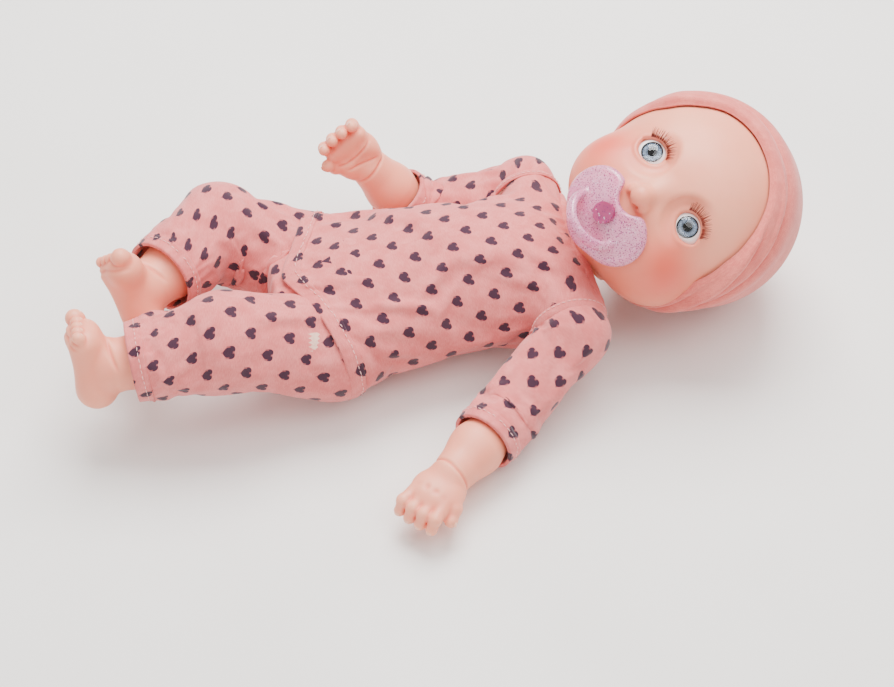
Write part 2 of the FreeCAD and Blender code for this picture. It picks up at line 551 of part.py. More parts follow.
for side, spec in LEG.items():
    tag = side.capitalize()
    aim = V(spec["aim"])
    aim.normalize()
    knee = spec["knee"]
    start = knee + aim * 17.0
    cloth_end = start + aim * 6.0
    cuff = start + aim * 22.6
    plane = 15.3
    body = chain(f"Thigh{tag}", [HIP[side], knee, start + aim * 10.0],
                 ["hip_rad", "knee_rad", "shank_cloth_rad - 0.8"])
    bore = cylinder(f"LegBore{tag}", start - aim * 0.5, aim, "bore_rad", "30")
    leg_tools = fuse(f"ThighTools{tag}", [side_cut(f"LegPlane{tag}", side, plane), bore,
                                          end_plane(f"LegEnd{tag}", cloth_end, aim)])
    node(f"thigh_{side}", cut(f"ThighCut{tag}", body, leg_tools))
    leg_out = chain(f"PantOut{tag}", [HIP[side], knee, start + aim * 30.0],
                    ["hip_rad + leg_sleeve_gap + sleeve_thick", "knee_rad + leg_sleeve_gap + sleeve_thick",
                     "shank_cloth_rad - 0.6"])
    leg_in = chain(f"PantIn{tag}", [HIP[side], knee, start + aim * 30.0],
                   ["hip_rad + leg_sleeve_gap", "knee_rad + leg_sleeve_gap", "shank_cloth_rad - 2.0"])
    pant_tools = fuse(f"PantTools{tag}", [leg_in, copy_of(f"PantBody{tag}", body),
                                          side_cut(f"PantPlane{tag}", side, plane),
                                          end_plane(f"PantEnd{tag}", cuff, aim)])
    node(f"pant_leg_{side}", cut(f"PantLeg{tag}", leg_out, pant_tools))
    tie = cut(f"LegTieRing{tag}",
              cylinder(f"LegTieOut{tag}", start + aim * 3.2, aim, "limb_tie_out", "limb_tie_wide"),
              cylinder(f"LegTieIn{tag}", start + aim * 3.0, aim, "limb_tie_in", "limb_tie_wide + 1"))
    node(f"leg_tie_{side}", tie)
    ankle = start + aim * 29.0
    toe_way = V(spec["toes"])
    toe_way = toe_way - aim * toe_way.dot(aim)
    toe_way.normalize()
    across = aim.cross(toe_way)
    across.normalize()
    inner = -1 if side == "right" else 1
    heel = ankle + aim * 10.0 - toe_way * 8.0
    ball_in = ankle + aim * 11.0 + toe_way * 14.0 + across * (inner * 4.2)
    ball_out = ankle + aim * 11.0 + toe_way * 13.0 - across * (inner * 3.6)
    pieces = limb_end(f"Leg{tag}", start, aim)
    pieces.append(cone(f"Shank{tag}", start + aim * 6.4, ankle, "shank_rad - 1.4", "ankle_rad"))
    pieces.append(sphere(f"Ankle{tag}", ankle, "ankle_rad + 0.1"))
    pieces.append(sphere(f"Heel{tag}", heel, "heel_rad"))
    pieces.append(cone(f"Instep{tag}", ankle, ankle + aim * 10.0, "ankle_rad - 0.2", "heel_rad - 1"))
    pieces.append(cone(f"FootIn{tag}", heel, ball_in, "heel_rad - 0.2", "ball_rad - 0.2"))
    pieces.append(cone(f"FootOut{tag}", heel, ball_out, "heel_rad - 0.3", "ball_rad - 0.6"))
    pieces.append(sphere(f"BallIn{tag}", ball_in, "ball_rad"))
    pieces.append(sphere(f"BallOut{tag}", ball_out, "ball_rad - 0.5"))
    for k in range(5):
        radius = "big_toe_rad" if k == 0 else f"toe_rad - {0.12 * k:.2f}"
        spot = (ball_in + toe_way * (6.6 - 0.75 * k) + across * (inner * (3.4 - 3.85 * k))
                + aim * (1.2 if k == 0 else 0.4))
        pieces.append(sphere(f"Toe{k}{tag}", spot, radius))
    core = cone(f"LegCore{tag}", start + aim * 8.6, ankle - aim * 1, "shank_rad - 3.8", "ankle_rad - 2.6")
    vent = cylinder(f"LegVent{tag}", start - aim * 1, aim, "3", "12")
    leg_hollow = fuse(f"LegHollow{tag}", [core, vent])
    node(f"leg_{side}", cut(f"Leg{tag}", fuse_in_turn(f"LegSolid{tag}", pieces), leg_hollow))

# ---------------------------------------------------------------- sound box in the belly
UP = V(0, 0, 1)


def at_box(x, y, z):
    return V(BOX_X + x, BOX_Y + y, z)


LOW, SPLIT, HIGH = SIZES["box_low"], SIZES["box_split"], SIZES["box_high"]
SPEAKER = (10.0, 0.0)
BUTTON = (-11.5, 0.0)
POSTS = [(0, 17.6), (0, -17.6)]
wall = SIZES["box_wall"]
front_solid = cylinder("FrontSolid", at_box(0, 0, SPLIT + 0.05), UP, "box_rad", HIGH - SPLIT - 0.05)
front_room = cylinder("FrontRoom", at_box(0, 0, SPLIT - 1), UP, "box_rad - box_wall", HIGH - SPLIT + 1 - wall)
button_hole = cylinder("ButtonHole", at_box(*BUTTON, HIGH - 5), UP, "button_rad + button_hole_play", "12")
front_tools = [front_room, button_hole]
for ring, count in ((0.0, 1), (3.2, 6), (6.4, 12)):
    for k in range(count):
        turn = 2 * math.pi * k / count
        spot = at_box(SPEAKER[0] + ring * math.cos(turn), SPEAKER[1] + ring * math.sin(turn), HIGH - 4)
        front_tools.append(cylinder(f"Grille{int(ring)}x{k}", spot, UP, "0.8", "8"))
front_cup = cut("FrontCup", front_solid, fuse("FrontTools", front_tools))
posts_high = []
for k, (x, y) in enumerate(POSTS):
    post = cylinder(f"FrontPost{k}", at_box(x, y, SPLIT + 3.2), UP, "3", HIGH - SPLIT - 3.2 - wall + 0.5)
    posts_high.append(cut(f"FrontPostCut{k}", post,
                          cylinder(f"FrontPilot{k}", at_box(x, y, SPLIT - 1), UP, "screw_rad", "9")))
node("sound_box_front", fuse("SoundBoxFront", [front_cup] + posts_high))

back_solid = cylinder("BackSolid", at_box(0, 0, LOW), UP, "box_rad", SPLIT - LOW)
back_room = cylinder("BackRoom", at_box(0, 0, LOW + wall + 1.6), UP, "box_rad - box_wall", "40")
cell_bay = box("CellBay", (BOX_X - 6.3, -10.6, LOW + 0.5), (BOX_X + 6.3, 10.6, LOW + 14.2))
bay_wall = box("BayWall", (BOX_X - 7.4, -11.7, LOW + 0.5), (BOX_X + 7.4, 11.7, SPLIT - 0.4))
door_long, door_wide = SIZES["door_long"] / 2, SIZES["door_wide"] / 2
door_gap = SIZES["door_play"]
door_bed = box("DoorBed", (BOX_X - door_wide - door_gap, -door_long - door_gap, LOW - 1),
               (BOX_X + door_wide + door_gap, door_long + door_gap, LOW + SIZES["door_thick"] + 0.1))
switch_slot = box("SwitchSlot", (BOX_X + 12.2, -2.0, LOW - 1), (BOX_X + 19.0, 2.0, LOW + 5))
back_cup = cut("BackCup", back_solid, back_room)
back_posts = []
back_holes = []
for k, (x, y) in enumerate(POSTS):
    back_posts.append(cylinder(f"BackPost{k}", at_box(x, y, LOW + 1), UP, "3.2", SPLIT - LOW + 0.2))
    back_holes.append(cylinder(f"BackHole{k}", at_box(x, y, LOW - 1), UP, "screw_rad + 0.2", "30"))
    back_holes.append(cylinder(f"BackSink{k}", at_box(x, y, LOW - 1), UP, "screw_head_rad + 0.2", "4"))
door_pilot = cylinder("DoorPilot", at_box(0, 12.0, LOW), UP, "screw_rad + 0.05", "6.2")
door_boss = cylinder("DoorBoss", at_box(0, 12.0, LOW + 2.5), UP, "2.4", "6")
back_body = fuse("BackBody", [back_cup, bay_wall, door_boss] + back_posts)
node("sound_box_back", cut("SoundBoxBack", back_body,
                           fuse("BackTools", [cell_bay, door_bed, switch_slot, door_pilot] + back_holes)))
door_plate = box("DoorPlate", (BOX_X - door_wide, -door_long, LOW), (BOX_X + door_wide, door_long,
                                                                    LOW + SIZES["door_thick"]))
door_hole = cylinder("DoorHole", at_box(0, 12.0, LOW - 1), UP, "screw_rad + 0.2", "5")
node("battery_door", cut("BatteryDoor", door_plate, door_hole))


def screw(name, x, y, head_z, length):
    """Pan head below, shank going up, cross slot in the head."""
    head = cylinder(f"{name}Head", at_box(x, y, head_z - 1.1), UP, "screw_head_rad", "1.1")
    shank = cylinder(f"{name}Shank", at_box(x, y, head_z - 0.2), UP, "screw_rad", length)
    slot_low, slot_high = head_z - 1.4, head_z - 0.6
    slot_a = box(f"{name}SlotA", (BOX_X + x - 1.4, y - 0.25, slot_low), (BOX_X + x + 1.4, y + 0.25, slot_high))
    slot_b = box(f"{name}SlotB", (BOX_X + x - 0.25, y - 1.4, slot_low), (BOX_X + x + 0.25, y + 1.4, slot_high))
    return cut(f"{name}Cut", fuse(f"{name}Solid", [head, shank]), fuse(f"{name}Slots", [slot_a, slot_b]))


node("battery_door_screw", screw("DoorScrew", 0, 12.0, LOW - 0.02, 5.5))
node("box_screws", group("BoxScrews", [screw(f"BoxScrew{k}", x, y, LOW + 2.9, 19.5)
                                       for k, (x, y) in enumerate(POSTS)]))
BOARD = SIZES["board_high"]
board_disc = cylinder("BoardDisc", at_box(0, 0, BOARD), UP, "board_rad", "board_thick")
board_tools = [cylinder(f"BoardHole{k}", at_box(x, y, BOARD - 1), UP, "3.4", "5")
               for k, (x, y) in enumerate(POSTS)]
node("circuit_board", cut("CircuitBoard", board_disc, fuse("BoardTools", board_tools)))
BOARD_TOP = BOARD + SIZES["board_thick"] + 0.02
node("sound_chip", cylinder("SoundChip", at_box(7.5, 8.5, BOARD_TOP), UP, "3.2", "1.4"))
node("capacitor", cylinder("Capacitor", at_box(-2.0, -11.0, BOARD_TOP), UP, "2.0", "5.0"))
node("tact_switch", fuse("TactSwitch", [
    box("TactBase", (BOX_X + BUTTON[0] - 3, -3, BOARD_TOP), (BOX_X + BUTTON[0] + 3, 3, BOARD_TOP + 2.6)),
    cylinder("TactKnob", at_box(*BUTTON, BOARD_TOP + 2.5), UP, "1.6", "0.9")]))
cells = [cylinder(f"Cell{k}", V(BOX_X, (k - 1.5) * SIZES["cell_pitch"] + 0.05, LOW + 7.6), V(0, 1, 0),
                  "cell_rad", "cell_len") for k in range(3)]
node("battery_cells", group("BatteryCells", cells))
node("battery_contacts", group("BatteryContacts", [
    box("ContactLow", (BOX_X - 4, -10.2, LOW + 3), (BOX_X + 4, -9.7, LOW + 13)),
    box("ContactHigh", (BOX_X - 4, 9.7, LOW + 3), (BOX_X + 4, 10.2, LOW + 13))]))
speaker_top = HIGH - wall - 0.2
frame_out = cylinder("SpeakerFrameOut", at_box(*SPEAKER, speaker_top - 4.0), UP, "speaker_rad", "speaker_deep")
frame_in = make("Part::Cone", "SpeakerFrameIn", along(UP, at_box(*SPEAKER, speaker_top - 3.2)),
                Radius1="speaker_magnet_rad - 1", Radius2="speaker_rad - 0.8", Height="3.3")
node("speaker_frame", cut("SpeakerFrame", frame_out, frame_in))
node("speaker_magnet", cylinder("SpeakerMagnet", at_box(*SPEAKER, speaker_top - 7.05), UP,
                                "speaker_magnet_rad", "speaker_magnet_len"))
cone_out = make("Part::Cone", "ConeOut", along(UP, at_box(*SPEAKER, speaker_top - 3.1)),
                Radius1="speaker_magnet_rad - 1.3", Radius2="speaker_rad - 1.2", Height="3")
cone_in = make("Part::Cone", "ConeIn", along(UP, at_box(*SPEAKER, speaker_top - 2.6)),
               Radius1="speaker_magnet_rad - 1.6", Radius2="speaker_rad - 1.5", Height="3")
node("speaker_cone", cut("SpeakerCone", cone_out, cone_in))
BUTTON_LOW = HIGH - 1.9
button_cap = cylinder("ButtonCap", at_box(*BUTTON, BUTTON_LOW), UP, "button_rad", "button_thick")
button_lip = cylinder("ButtonLip", at_box(*BUTTON, BUTTON_LOW - 1.0), UP, "button_rad + 1", "1.2")
button_stem = cylinder("ButtonStem", at_box(*BUTTON, BOARD_TOP + 3.4 + 1.3), UP, "stem_rad",
                       BUTTON_LOW - BOARD_TOP - 4.2)
node("tummy_button", fuse("TummyButton", [button_cap, button_lip, button_stem]))
spring_low = BOARD_TOP + 3.4 + 1.0
helix = make("Part::Helix", "SpringHelix", along(UP, at_box(*BUTTON, spring_low + 0.4)),
             Pitch=1.2, Height=2.4, Radius="spring_rad", Angle=0.0, SegmentLength=0.5)
wire_place = FreeCAD.Placement(at_box(BUTTON[0] + SIZES["spring_rad"], 0, spring_low + 0.4),
                               FreeCAD.Rotation(V(1, 0, 0), 90))
wire = make("Part::Circle", "SpringWire", wire_place, Radius="spring_wire - 0.3")
spring = doc.addObject("Part::Sweep", "SpringSweep")
spring.Sections = [wire]
spring.Spine = (helix, [])
spring.Solid = True
spring.Frenet = True
node("button_spring", spring)
node("switch_body", box("SwitchBody", (BOX_X + 11.4, -3.2, LOW + 3.3), (BOX_X + 19.4, 3.2, LOW + 6.5)))
knob = box("SwitchKnobBar", (BOX_X + 12.4, -1.8, LOW - 0.8), (BOX_X + 15.6, 1.8, LOW + 3.2))
node("power_switch", knob)

lead_high = cylinder("LeadHigh", NECK_REAR - NECK_AXIS * 12, NECK_AXIS, "0.8", "32")
lead_knee = NECK_REAR - NECK_AXIS * 12
lead_low = cone("LeadLow", V(19.0, 0, 24.5), lead_knee, "0.8", "0.8")
node("sensor_lead", fuse("SensorLead", [lead_high, lead_low, sphere("LeadKnee", lead_knee, "0.82")]))

# ---------------------------------------------------------------- check and write
doc.recompute()
faults = []
for obj in doc.Objects:
    if "Invalid" in obj.State or "Error" in obj.State:
        faults.append(f"{obj.Name}: state {obj.State}")
for obj in NODES:
    if obj.Shape.isNull() or not obj.Shape.isValid() or not obj.Shape.Solids:
        faults.append(f"{obj.Label}: shape not usable")
if faults:
    raise RuntimeError("; ".join(faults[:20]))
os.makedirs("parts", exist_ok=True)
for obj in NODES:
    obj.Shape.exportStep(f"parts/{obj.Label}.step")
    bounds = obj.Shape.BoundBox
    print(f"{obj.Label}: {len(obj.Shape.Solids)} solid(s), volume {obj.Shape.Volume:.0f}, "
          f"x {bounds.XMin:.1f}..{bounds.XMax:.1f} y {bounds.YMin:.1f}..{bounds.YMax:.1f} "
          f"z {bounds.ZMin:.1f}..{bounds.ZMax:.1f}")
print(len(NODES), "nodes")
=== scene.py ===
"""Looks of the baby doll: vinyl head and limbs, printed jersey clothes, cap, eyes and pacifier."""
import json
import math

import bpy
import numpy as np
import openvdb
from mathutils import Matrix, Vector


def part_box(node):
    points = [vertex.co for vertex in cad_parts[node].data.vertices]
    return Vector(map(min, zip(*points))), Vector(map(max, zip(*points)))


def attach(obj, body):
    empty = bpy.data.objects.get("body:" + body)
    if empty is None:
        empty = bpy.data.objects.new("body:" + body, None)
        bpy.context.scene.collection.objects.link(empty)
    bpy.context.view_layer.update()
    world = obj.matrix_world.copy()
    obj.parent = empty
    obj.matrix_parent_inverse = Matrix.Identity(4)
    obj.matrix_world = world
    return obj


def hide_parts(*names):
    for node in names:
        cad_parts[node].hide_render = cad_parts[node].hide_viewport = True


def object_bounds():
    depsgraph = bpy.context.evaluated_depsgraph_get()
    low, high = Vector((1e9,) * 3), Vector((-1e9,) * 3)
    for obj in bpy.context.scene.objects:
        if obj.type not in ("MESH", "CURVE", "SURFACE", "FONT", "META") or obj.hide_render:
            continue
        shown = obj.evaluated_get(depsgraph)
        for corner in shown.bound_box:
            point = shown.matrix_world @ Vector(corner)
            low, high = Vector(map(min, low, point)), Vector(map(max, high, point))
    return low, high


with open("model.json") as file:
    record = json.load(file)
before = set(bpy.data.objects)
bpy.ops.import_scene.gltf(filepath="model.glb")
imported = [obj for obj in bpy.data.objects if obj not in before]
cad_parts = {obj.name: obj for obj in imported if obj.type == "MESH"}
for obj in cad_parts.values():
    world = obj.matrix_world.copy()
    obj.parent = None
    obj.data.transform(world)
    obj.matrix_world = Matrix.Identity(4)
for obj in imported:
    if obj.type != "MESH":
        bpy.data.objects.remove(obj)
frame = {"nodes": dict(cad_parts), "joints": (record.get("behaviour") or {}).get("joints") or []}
CAD_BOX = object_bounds()
MM = 0.001
JOINTS = {joint["name"]: joint for joint in frame["joints"]}


def vec(x, y, z):
    return np.array([x, y, z], float)


def unit(v):
    return np.asarray(v, float) / np.linalg.norm(v)


def joint_at(name):
    """Where a joint's axis passes, in millimetres."""
    return np.array(JOINTS[name]["pos_m"], float) / MM


def joint_axis(name):
    return unit(JOINTS[name]["axis"])


# ---------------------------------------------------------------- distance fields, in millimetres
def ball(p, centre, radius):
    return np.linalg.norm(p - centre, axis=1) - radius


def egg(p, centre, radii, axes=np.eye(3)):
    """Distance to an ellipsoid, close near its surface. The rows of axes are its own directions."""
    q = (p - centre) @ axes.T
    near = np.linalg.norm(q / radii, axis=1)
    slope = np.linalg.norm(q / np.square(radii), axis=1)
    return near * (near - 1) / np.maximum(slope, 1e-9)


def rod(p, start, end, start_radius, end_radius):
    """Distance to a round bar whose radius changes along it."""
    way = end - start
    share = np.clip((p - start) @ way / (way @ way), 0, 1)
    return np.linalg.norm(p - start - share[:, None] * way, axis=1) - (start_radius
            + (end_radius - start_radius) * share)


def join(a, b, soft):
    share = np.clip(0.5 + 0.5 * (b - a) / soft, 0, 1)
    return b * (1 - share) + a * share - soft * share * (1 - share)


def carve(a, b, soft):
    return -join(-a, b, soft)


def groove(d, across, along_limit, depth, width):
    """Presses a line into a surface: across is the distance to the line, along_limit fades it out."""
    return d + depth * np.exp(-np.square(across / width)) * along_limit


def fade(x, low, high):
    """0 below low, 1 above high, smooth between them."""
    t = np.clip((x - low) / (high - low), 0, 1)
    return t * t * (3 - 2 * t)


def gradient(field, p, base):
    step = 0.02
    slope = np.empty_like(p)
    for k in range(3):
        moved = p.copy()
        moved[:, k] += step
        slope[:, k] = (field(moved) - base) / step
    return slope


def relax(p, edges, share):
    count = np.maximum(np.bincount(edges.ravel(), minlength=len(p)), 1)
    total = np.empty_like(p)
    for k in range(3):
        total[:, k] = (np.bincount(edges[:, 0], p[edges[:, 1], k], len(p))
                       + np.bincount(edges[:, 1], p[edges[:, 0], k], len(p)))
    return p + share * (total / count[:, None] - p)


# ---------------------------------------------------------------- making objects
def link(name, mesh, material):
    obj = bpy.data.objects.new(name, mesh)
    bpy.context.scene.collection.objects.link(obj)
    mesh.materials.append(material)
    for face in mesh.polygons:
        face.use_smooth = True
    return obj


def piece(name, points_mm, faces, material):
    mesh = bpy.data.meshes.new(name)
    mesh.from_pydata([tuple(float(c) * MM for c in p) for p in points_mm], [], faces)
    mesh.update()
    return link(name, mesh, material)


def points_of(obj):
    out = np.empty(len(obj.data.vertices) * 3)
    obj.data.vertices.foreach_get("co", out)
    return out.reshape(-1, 3) / MM


def set_points(obj, points_mm):
    obj.data.vertices.foreach_set("co", (np.asarray(points_mm) * MM).ravel())
    obj.data.update()


def edges_of(obj):
    out = np.empty(len(obj.data.edges) * 2, np.int64)
    obj.data.edges.foreach_get("vertices", out)
    return out.reshape(-1, 2)


def smooth_once(obj):
    soft = obj.modifiers.new("Smooth", "SUBSURF")
    soft.levels = 1
    soft.render_levels = 1


def mount(obj, body, node=None):
    """Puts a piece on its body, and hides the CAD node it stands for, if any."""
    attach(obj, body)
    if node:
        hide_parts(node)


def moulded(name, low, high, field, voxel, material):
    """A smooth moulded body whose skin is where the field is zero, inside a box."""
    coarse = 4
    cell = voxel * coarse
    blocks = np.ceil((high - low) / cell).astype(int) + 1
    ticks = [low[k] + (np.arange(blocks[k]) + 0.5) * cell - 0.5 * voxel for k in range(3)]
    middles = np.stack(np.meshgrid(*ticks, indexing="ij"), -1).reshape(-1, 3)
    rough = field(middles)
    values = np.repeat(np.repeat(np.repeat(rough.reshape(blocks), coarse, 0), coarse, 1), coarse, 2)
    near = np.flatnonzero(np.abs(rough) < cell * 1.25)
    corner = np.stack(np.unravel_index(near, blocks), 1) * coarse
    inner = np.stack(np.meshgrid(*[np.arange(coarse)] * 3, indexing="ij"), -1).reshape(-1, 3)
    spots = (corner[:, None, :] + inner[None, :, :]).reshape(-1, 3)
    values[tuple(spots.T)] = field(low + spots * voxel)
    grid = openvdb.FloatGrid(float(cell))
    grid.copyFromArray(values.astype(np.float32))
    points, quads = grid.convertToQuads(0.0)
    p = low + np.asarray(points, float) * voxel
    quads = np.asarray(quads)
    a, b, c = (p[quads[:, k]] for k in range(3))
    if (np.cross(b - a, c - a) * (a + c - 2 * p.mean(0))).sum() < 0:
        quads = quads[:, ::-1]
    obj = piece(name, p, quads.tolist(), material)
    edges = edges_of(obj)
    for settle in range(3):
        if settle < 2:
            p = relax(p, edges, 0.35)
        d = field(p)
        slope = gradient(field, p, d)
        size = np.maximum((slope ** 2).sum(1), 0.1)
        p = p - (np.clip(d, -0.6, 0.6) / size)[:, None] * slope
    set_points(obj, p)
    return obj


def write_attribute(obj, name, values):
    attribute = obj.data.attributes.new(name, "FLOAT", "POINT")
    attribute.data.foreach_set("value", np.clip(values, 0, 1).astype(np.float32))


# ---------------------------------------------------------------- materials
class Paint:
    """One material, with short calls to add and connect its nodes."""

    def __init__(self, name, colour, roughness, **sockets):
        self.material = bpy.data.materials.new(name)
        self.material.use_nodes = True
        self.tree = self.material.node_tree
        self.shader = self.tree.nodes["Principled BSDF"]
        self.shader.inputs["Base Color"].default_value = (*colour, 1)
        self.shader.inputs["Roughness"].default_value = roughness
        for key, value in sockets.items():
            self.shader.inputs[key.replace("_", " ")].default_value = value

    def feed(self, socket, value):
        if isinstance(value, bpy.types.NodeSocket):
            self.tree.links.new(value, socket)
        else:
            socket.default_value = value

    def add(self, kind, settings=None, inputs=None):
        node = self.tree.nodes.new(kind)
        for key, value in (settings or {}).items():
            setattr(node, key, value)
        for key, value in (inputs or {}).items():
            self.feed(node.inputs[key], value)
        return node

    def math(self, operation, *values):
        node = self.add("ShaderNodeMath", {"operation": operation})
        for k, value in enumerate(values):
            self.feed(node.inputs[k], value)
        return node.outputs[0]

    def noise(self, scale, detail=3.0, vector=None, roughness=0.55):
        inputs = {"Scale": scale, "Detail": detail, "Roughness": roughness}
        if vector is not None:
            inputs["Vector"] = vector
        return self.add("ShaderNodeTexNoise", None, inputs).outputs["Fac"]

    def object_space(self):
        return self.add("ShaderNodeTexCoord").outputs["Object"]

    def range(self, value, low, high, to_low=0.0, to_high=1.0):
        node = self.add("ShaderNodeMapRange", {"interpolation_type": "SMOOTHSTEP"},
                        {0: value, 1: low, 2: high, 3: to_low, 4: to_high})
        return node.outputs[0]

    def mix(self, share, a, b, blend="MIX"):
        node = self.add("ShaderNodeMix", {"data_type": "RGBA", "blend_type": blend})
        self.feed(node.inputs[0], share)
        for k, value in ((6, a), (7, b)):
            self.feed(node.inputs[k], (*value, 1) if isinstance(value, tuple) and len(value) == 3 else value)
        return node.outputs[2]

    def colour(self, value):
        self.feed(self.shader.inputs["Base Color"], value)

    def rough(self, value):
        self.feed(self.shader.inputs["Roughness"], value)

    def bump(self, height, strength, distance_mm):
        node = self.add("ShaderNodeBump", None,
                        {"Strength": strength, "Distance": distance_mm * MM, "Height": height})
        self.feed(self.shader.inputs["Normal"], node.outputs[0])

    def attribute(self, name):
        return self.add("ShaderNodeAttribute", {"attribute_name": name}).outputs["Fac"]


def srgb(red, green, blue):
    """A screen colour, 0 to 255, as the linear colour that shaders take."""
    out = []
    for c in (red / 255, green / 255, blue / 255):
        out.append(c / 12.92 if c <= 0.04045 else ((c + 0.055) / 1.055) ** 2.4)
    return tuple(out)


PINK = srgb(230, 128, 124)
PINK_DEEP = srgb(212, 100, 98)
HEART = srgb(30, 12, 34)
SKIN = srgb(252, 170, 140)
# the blush colour, also used for painted shade in hollows and on the lower face
BLUSH_AND_SHADE = srgb(226, 72, 50)
# painted shade: the dark red put into creases, along the lid edges and in the nostrils
CREASE_SHADE = srgb(196, 62, 44)
HEART_CELL = 16.5
HEART_SIZE = 2.25


def vinyl():
    """Soft matt vinyl with sprayed-on blush, and painted shade that turns its hollows and creases redder and
    darker.
    """
    paint = Paint("vinyl skin", SKIN, 0.46, Subsurface_Weight=0.22, Subsurface_Radius=(0.006, 0.0022, 0.0012),
                  Subsurface_Scale=1.0, Specular_IOR_Level=0.42, Coat_Weight=0.05, Coat_Roughness=0.35)
    place = paint.object_space()
    cloud = paint.noise(38, 3, place)
    mottled = paint.mix(paint.range(cloud, 0.3, 0.75), SKIN, srgb(248, 160, 130))
    # blush, with painted shade in hollows mixed into the same attribute
    with_blush_and_shade = paint.mix(paint.attribute("blush_and_shade"), mottled, BLUSH_AND_SHADE)
    # painted shade: darker red in the creases
    paint.colour(paint.mix(paint.attribute("crease_shade"), with_blush_and_shade, CREASE_SHADE))
    paint.rough(paint.range(paint.noise(90, 3, place), 0.3, 0.7, 0.42, 0.54))
    pores = paint.noise(2600, 2, place)
    swell = paint.noise(160, 3, place)
    paint.bump(paint.math("ADD", paint.math("MULTIPLY", pores, 0.35), swell), 0.16, 0.12)
    return paint.material


def heart_mask(paint, u, v):
    """1 inside the hearts of a staggered print, whose cloth coordinates count lattice cells."""
    masks = []
    for shift in (0.0, 0.5):
        x = paint.math("SUBTRACT", paint.math("FRACT", paint.math("ADD", u, shift)), 0.5)
        y = paint.math("SUBTRACT", paint.math("FRACT", paint.math("ADD", v, shift)), 0.5)
        x = paint.math("MULTIPLY", x, HEART_CELL / HEART_SIZE)
        y = paint.math("MULTIPLY", y, HEART_CELL / HEART_SIZE)
        x2, y2 = paint.math("MULTIPLY", x, x), paint.math("MULTIPLY", y, y)
        round_part = paint.math("SUBTRACT", paint.math("ADD", x2, y2), 1.0)
        cubed = paint.math("MULTIPLY", paint.math("MULTIPLY", round_part, round_part), round_part)
        lobes = paint.math("MULTIPLY", x2, paint.math("MULTIPLY", y2, y))
        masks.append(paint.range(paint.math("SUBTRACT", cubed, lobes), 0.06, -0.06))
    return paint.math("MAXIMUM", *masks)


def knit(name, base, deep, hearts, twill=0.5):
    """Cotton jersey: fine twill lines, slubs and fuzz, with or without the printed hearts."""
    paint = Paint(name, base, 0.86, Sheen_Weight=0.25, Sheen_Roughness=0.5, Specular_IOR_Level=0.25)
    uv = paint.add("ShaderNodeUVMap", {"uv_map": "cloth"}).outputs[0]
    split = paint.add("ShaderNodeSeparateXYZ", None, {0: uv})
    u, v = split.outputs[0], split.outputs[1]
    slub_place = paint.add("ShaderNodeMapping", None, {"Vector": uv, "Scale": (9.0, 55.0, 1.0)}).outputs[0]
    slubs = paint.noise(1.0, 3, slub_place)
    blotch = paint.noise(2.2, 3, uv)
    diagonal = paint.math("ADD", paint.math("MULTIPLY", u, 1.0), paint.math("MULTIPLY", v, 0.8))
    lines = paint.math("SINE", paint.math("MULTIPLY", diagonal, 2 * math.pi * HEART_CELL / twill))
    ribs = paint.math("SINE", paint.math("MULTIPLY", u, 2 * math.pi * HEART_CELL / (twill * 1.3)))
    weave = paint.math("ADD", paint.math("MULTIPLY", lines, 0.5), paint.math("MULTIPLY", ribs, 0.25))
    tone = paint.math("ADD", paint.math("MULTIPLY", slubs, 0.5), paint.math("MULTIPLY", blotch, 0.5))
    cloth = paint.mix(paint.range(tone, 0.38, 0.66), deep, base)
    cloth = paint.mix(paint.range(weave, -0.6, 0.7, 0.0, 0.13), cloth, srgb(250, 176, 168))
    if hearts:
        mask = heart_mask(paint, u, v)
        ink = paint.mix(paint.range(paint.noise(60, 3, uv), 0.35, 0.7), HEART, srgb(44, 22, 50))
        cloth = paint.mix(paint.math("MULTIPLY", mask, 0.96), cloth, ink)
    paint.colour(cloth)
    fuzz = paint.noise(240, 2, uv)
    height = paint.math("ADD", paint.math("MULTIPLY", weave, 0.6), paint.math("MULTIPLY", fuzz, 0.8))
    paint.bump(height, 0.5, 0.1)
    return paint.material


def thread():
    paint = Paint("sewing thread", srgb(238, 190, 182), 0.7, Sheen_Weight=0.3)
    place = paint.object_space()
    paint.colour(paint.mix(paint.noise(900, 2, place), srgb(240, 170, 162), srgb(252, 204, 198)))
    paint.bump(paint.noise(3000, 1, place), 0.4, 0.05)
    return paint.material


def glitter_gel(name, gel, deep, speck_share):
    """Clear jelly plastic with flakes set in it."""
    paint = Paint(name, gel, 0.16, Transmission_Weight=0.42, IOR=1.45, Subsurface_Weight=0.25,
                  Subsurface_Radius=(0.004, 0.002, 0.003), Subsurface_Scale=1.0,
                  Coat_Weight=0.35, Coat_Roughness=0.08)
    place = paint.object_space()
    cloud = paint.noise(75, 3, place)
    body = paint.mix(paint.range(cloud, 0.3, 0.75), gel, deep)
    for scale, flake, share in ((1500, srgb(130, 20, 110), speck_share),
                                (2300, srgb(190, 30, 130), speck_share),
                                (1300, srgb(255, 214, 240), speck_share * 0.35)):
        cells = paint.add("ShaderNodeTexVoronoi", None,
                          {"Vector": place, "Scale": float(scale), "Randomness": 1.0})
        picked = paint.add("ShaderNodeSeparateColor", None, {0: cells.outputs["Color"]}).outputs[0]
        inside = paint.range(cells.outputs["Distance"], 0.42, 0.34)
        chosen = paint.math("LESS_THAN", picked, share)
        body = paint.mix(paint.math("MULTIPLY", inside, chosen), body, flake)
    paint.colour(body)
    paint.rough(paint.range(cloud, 0.3, 0.7, 0.12, 0.24))
    paint.bump(paint.noise(420, 2, place), 0.12, 0.08)
    return paint.material


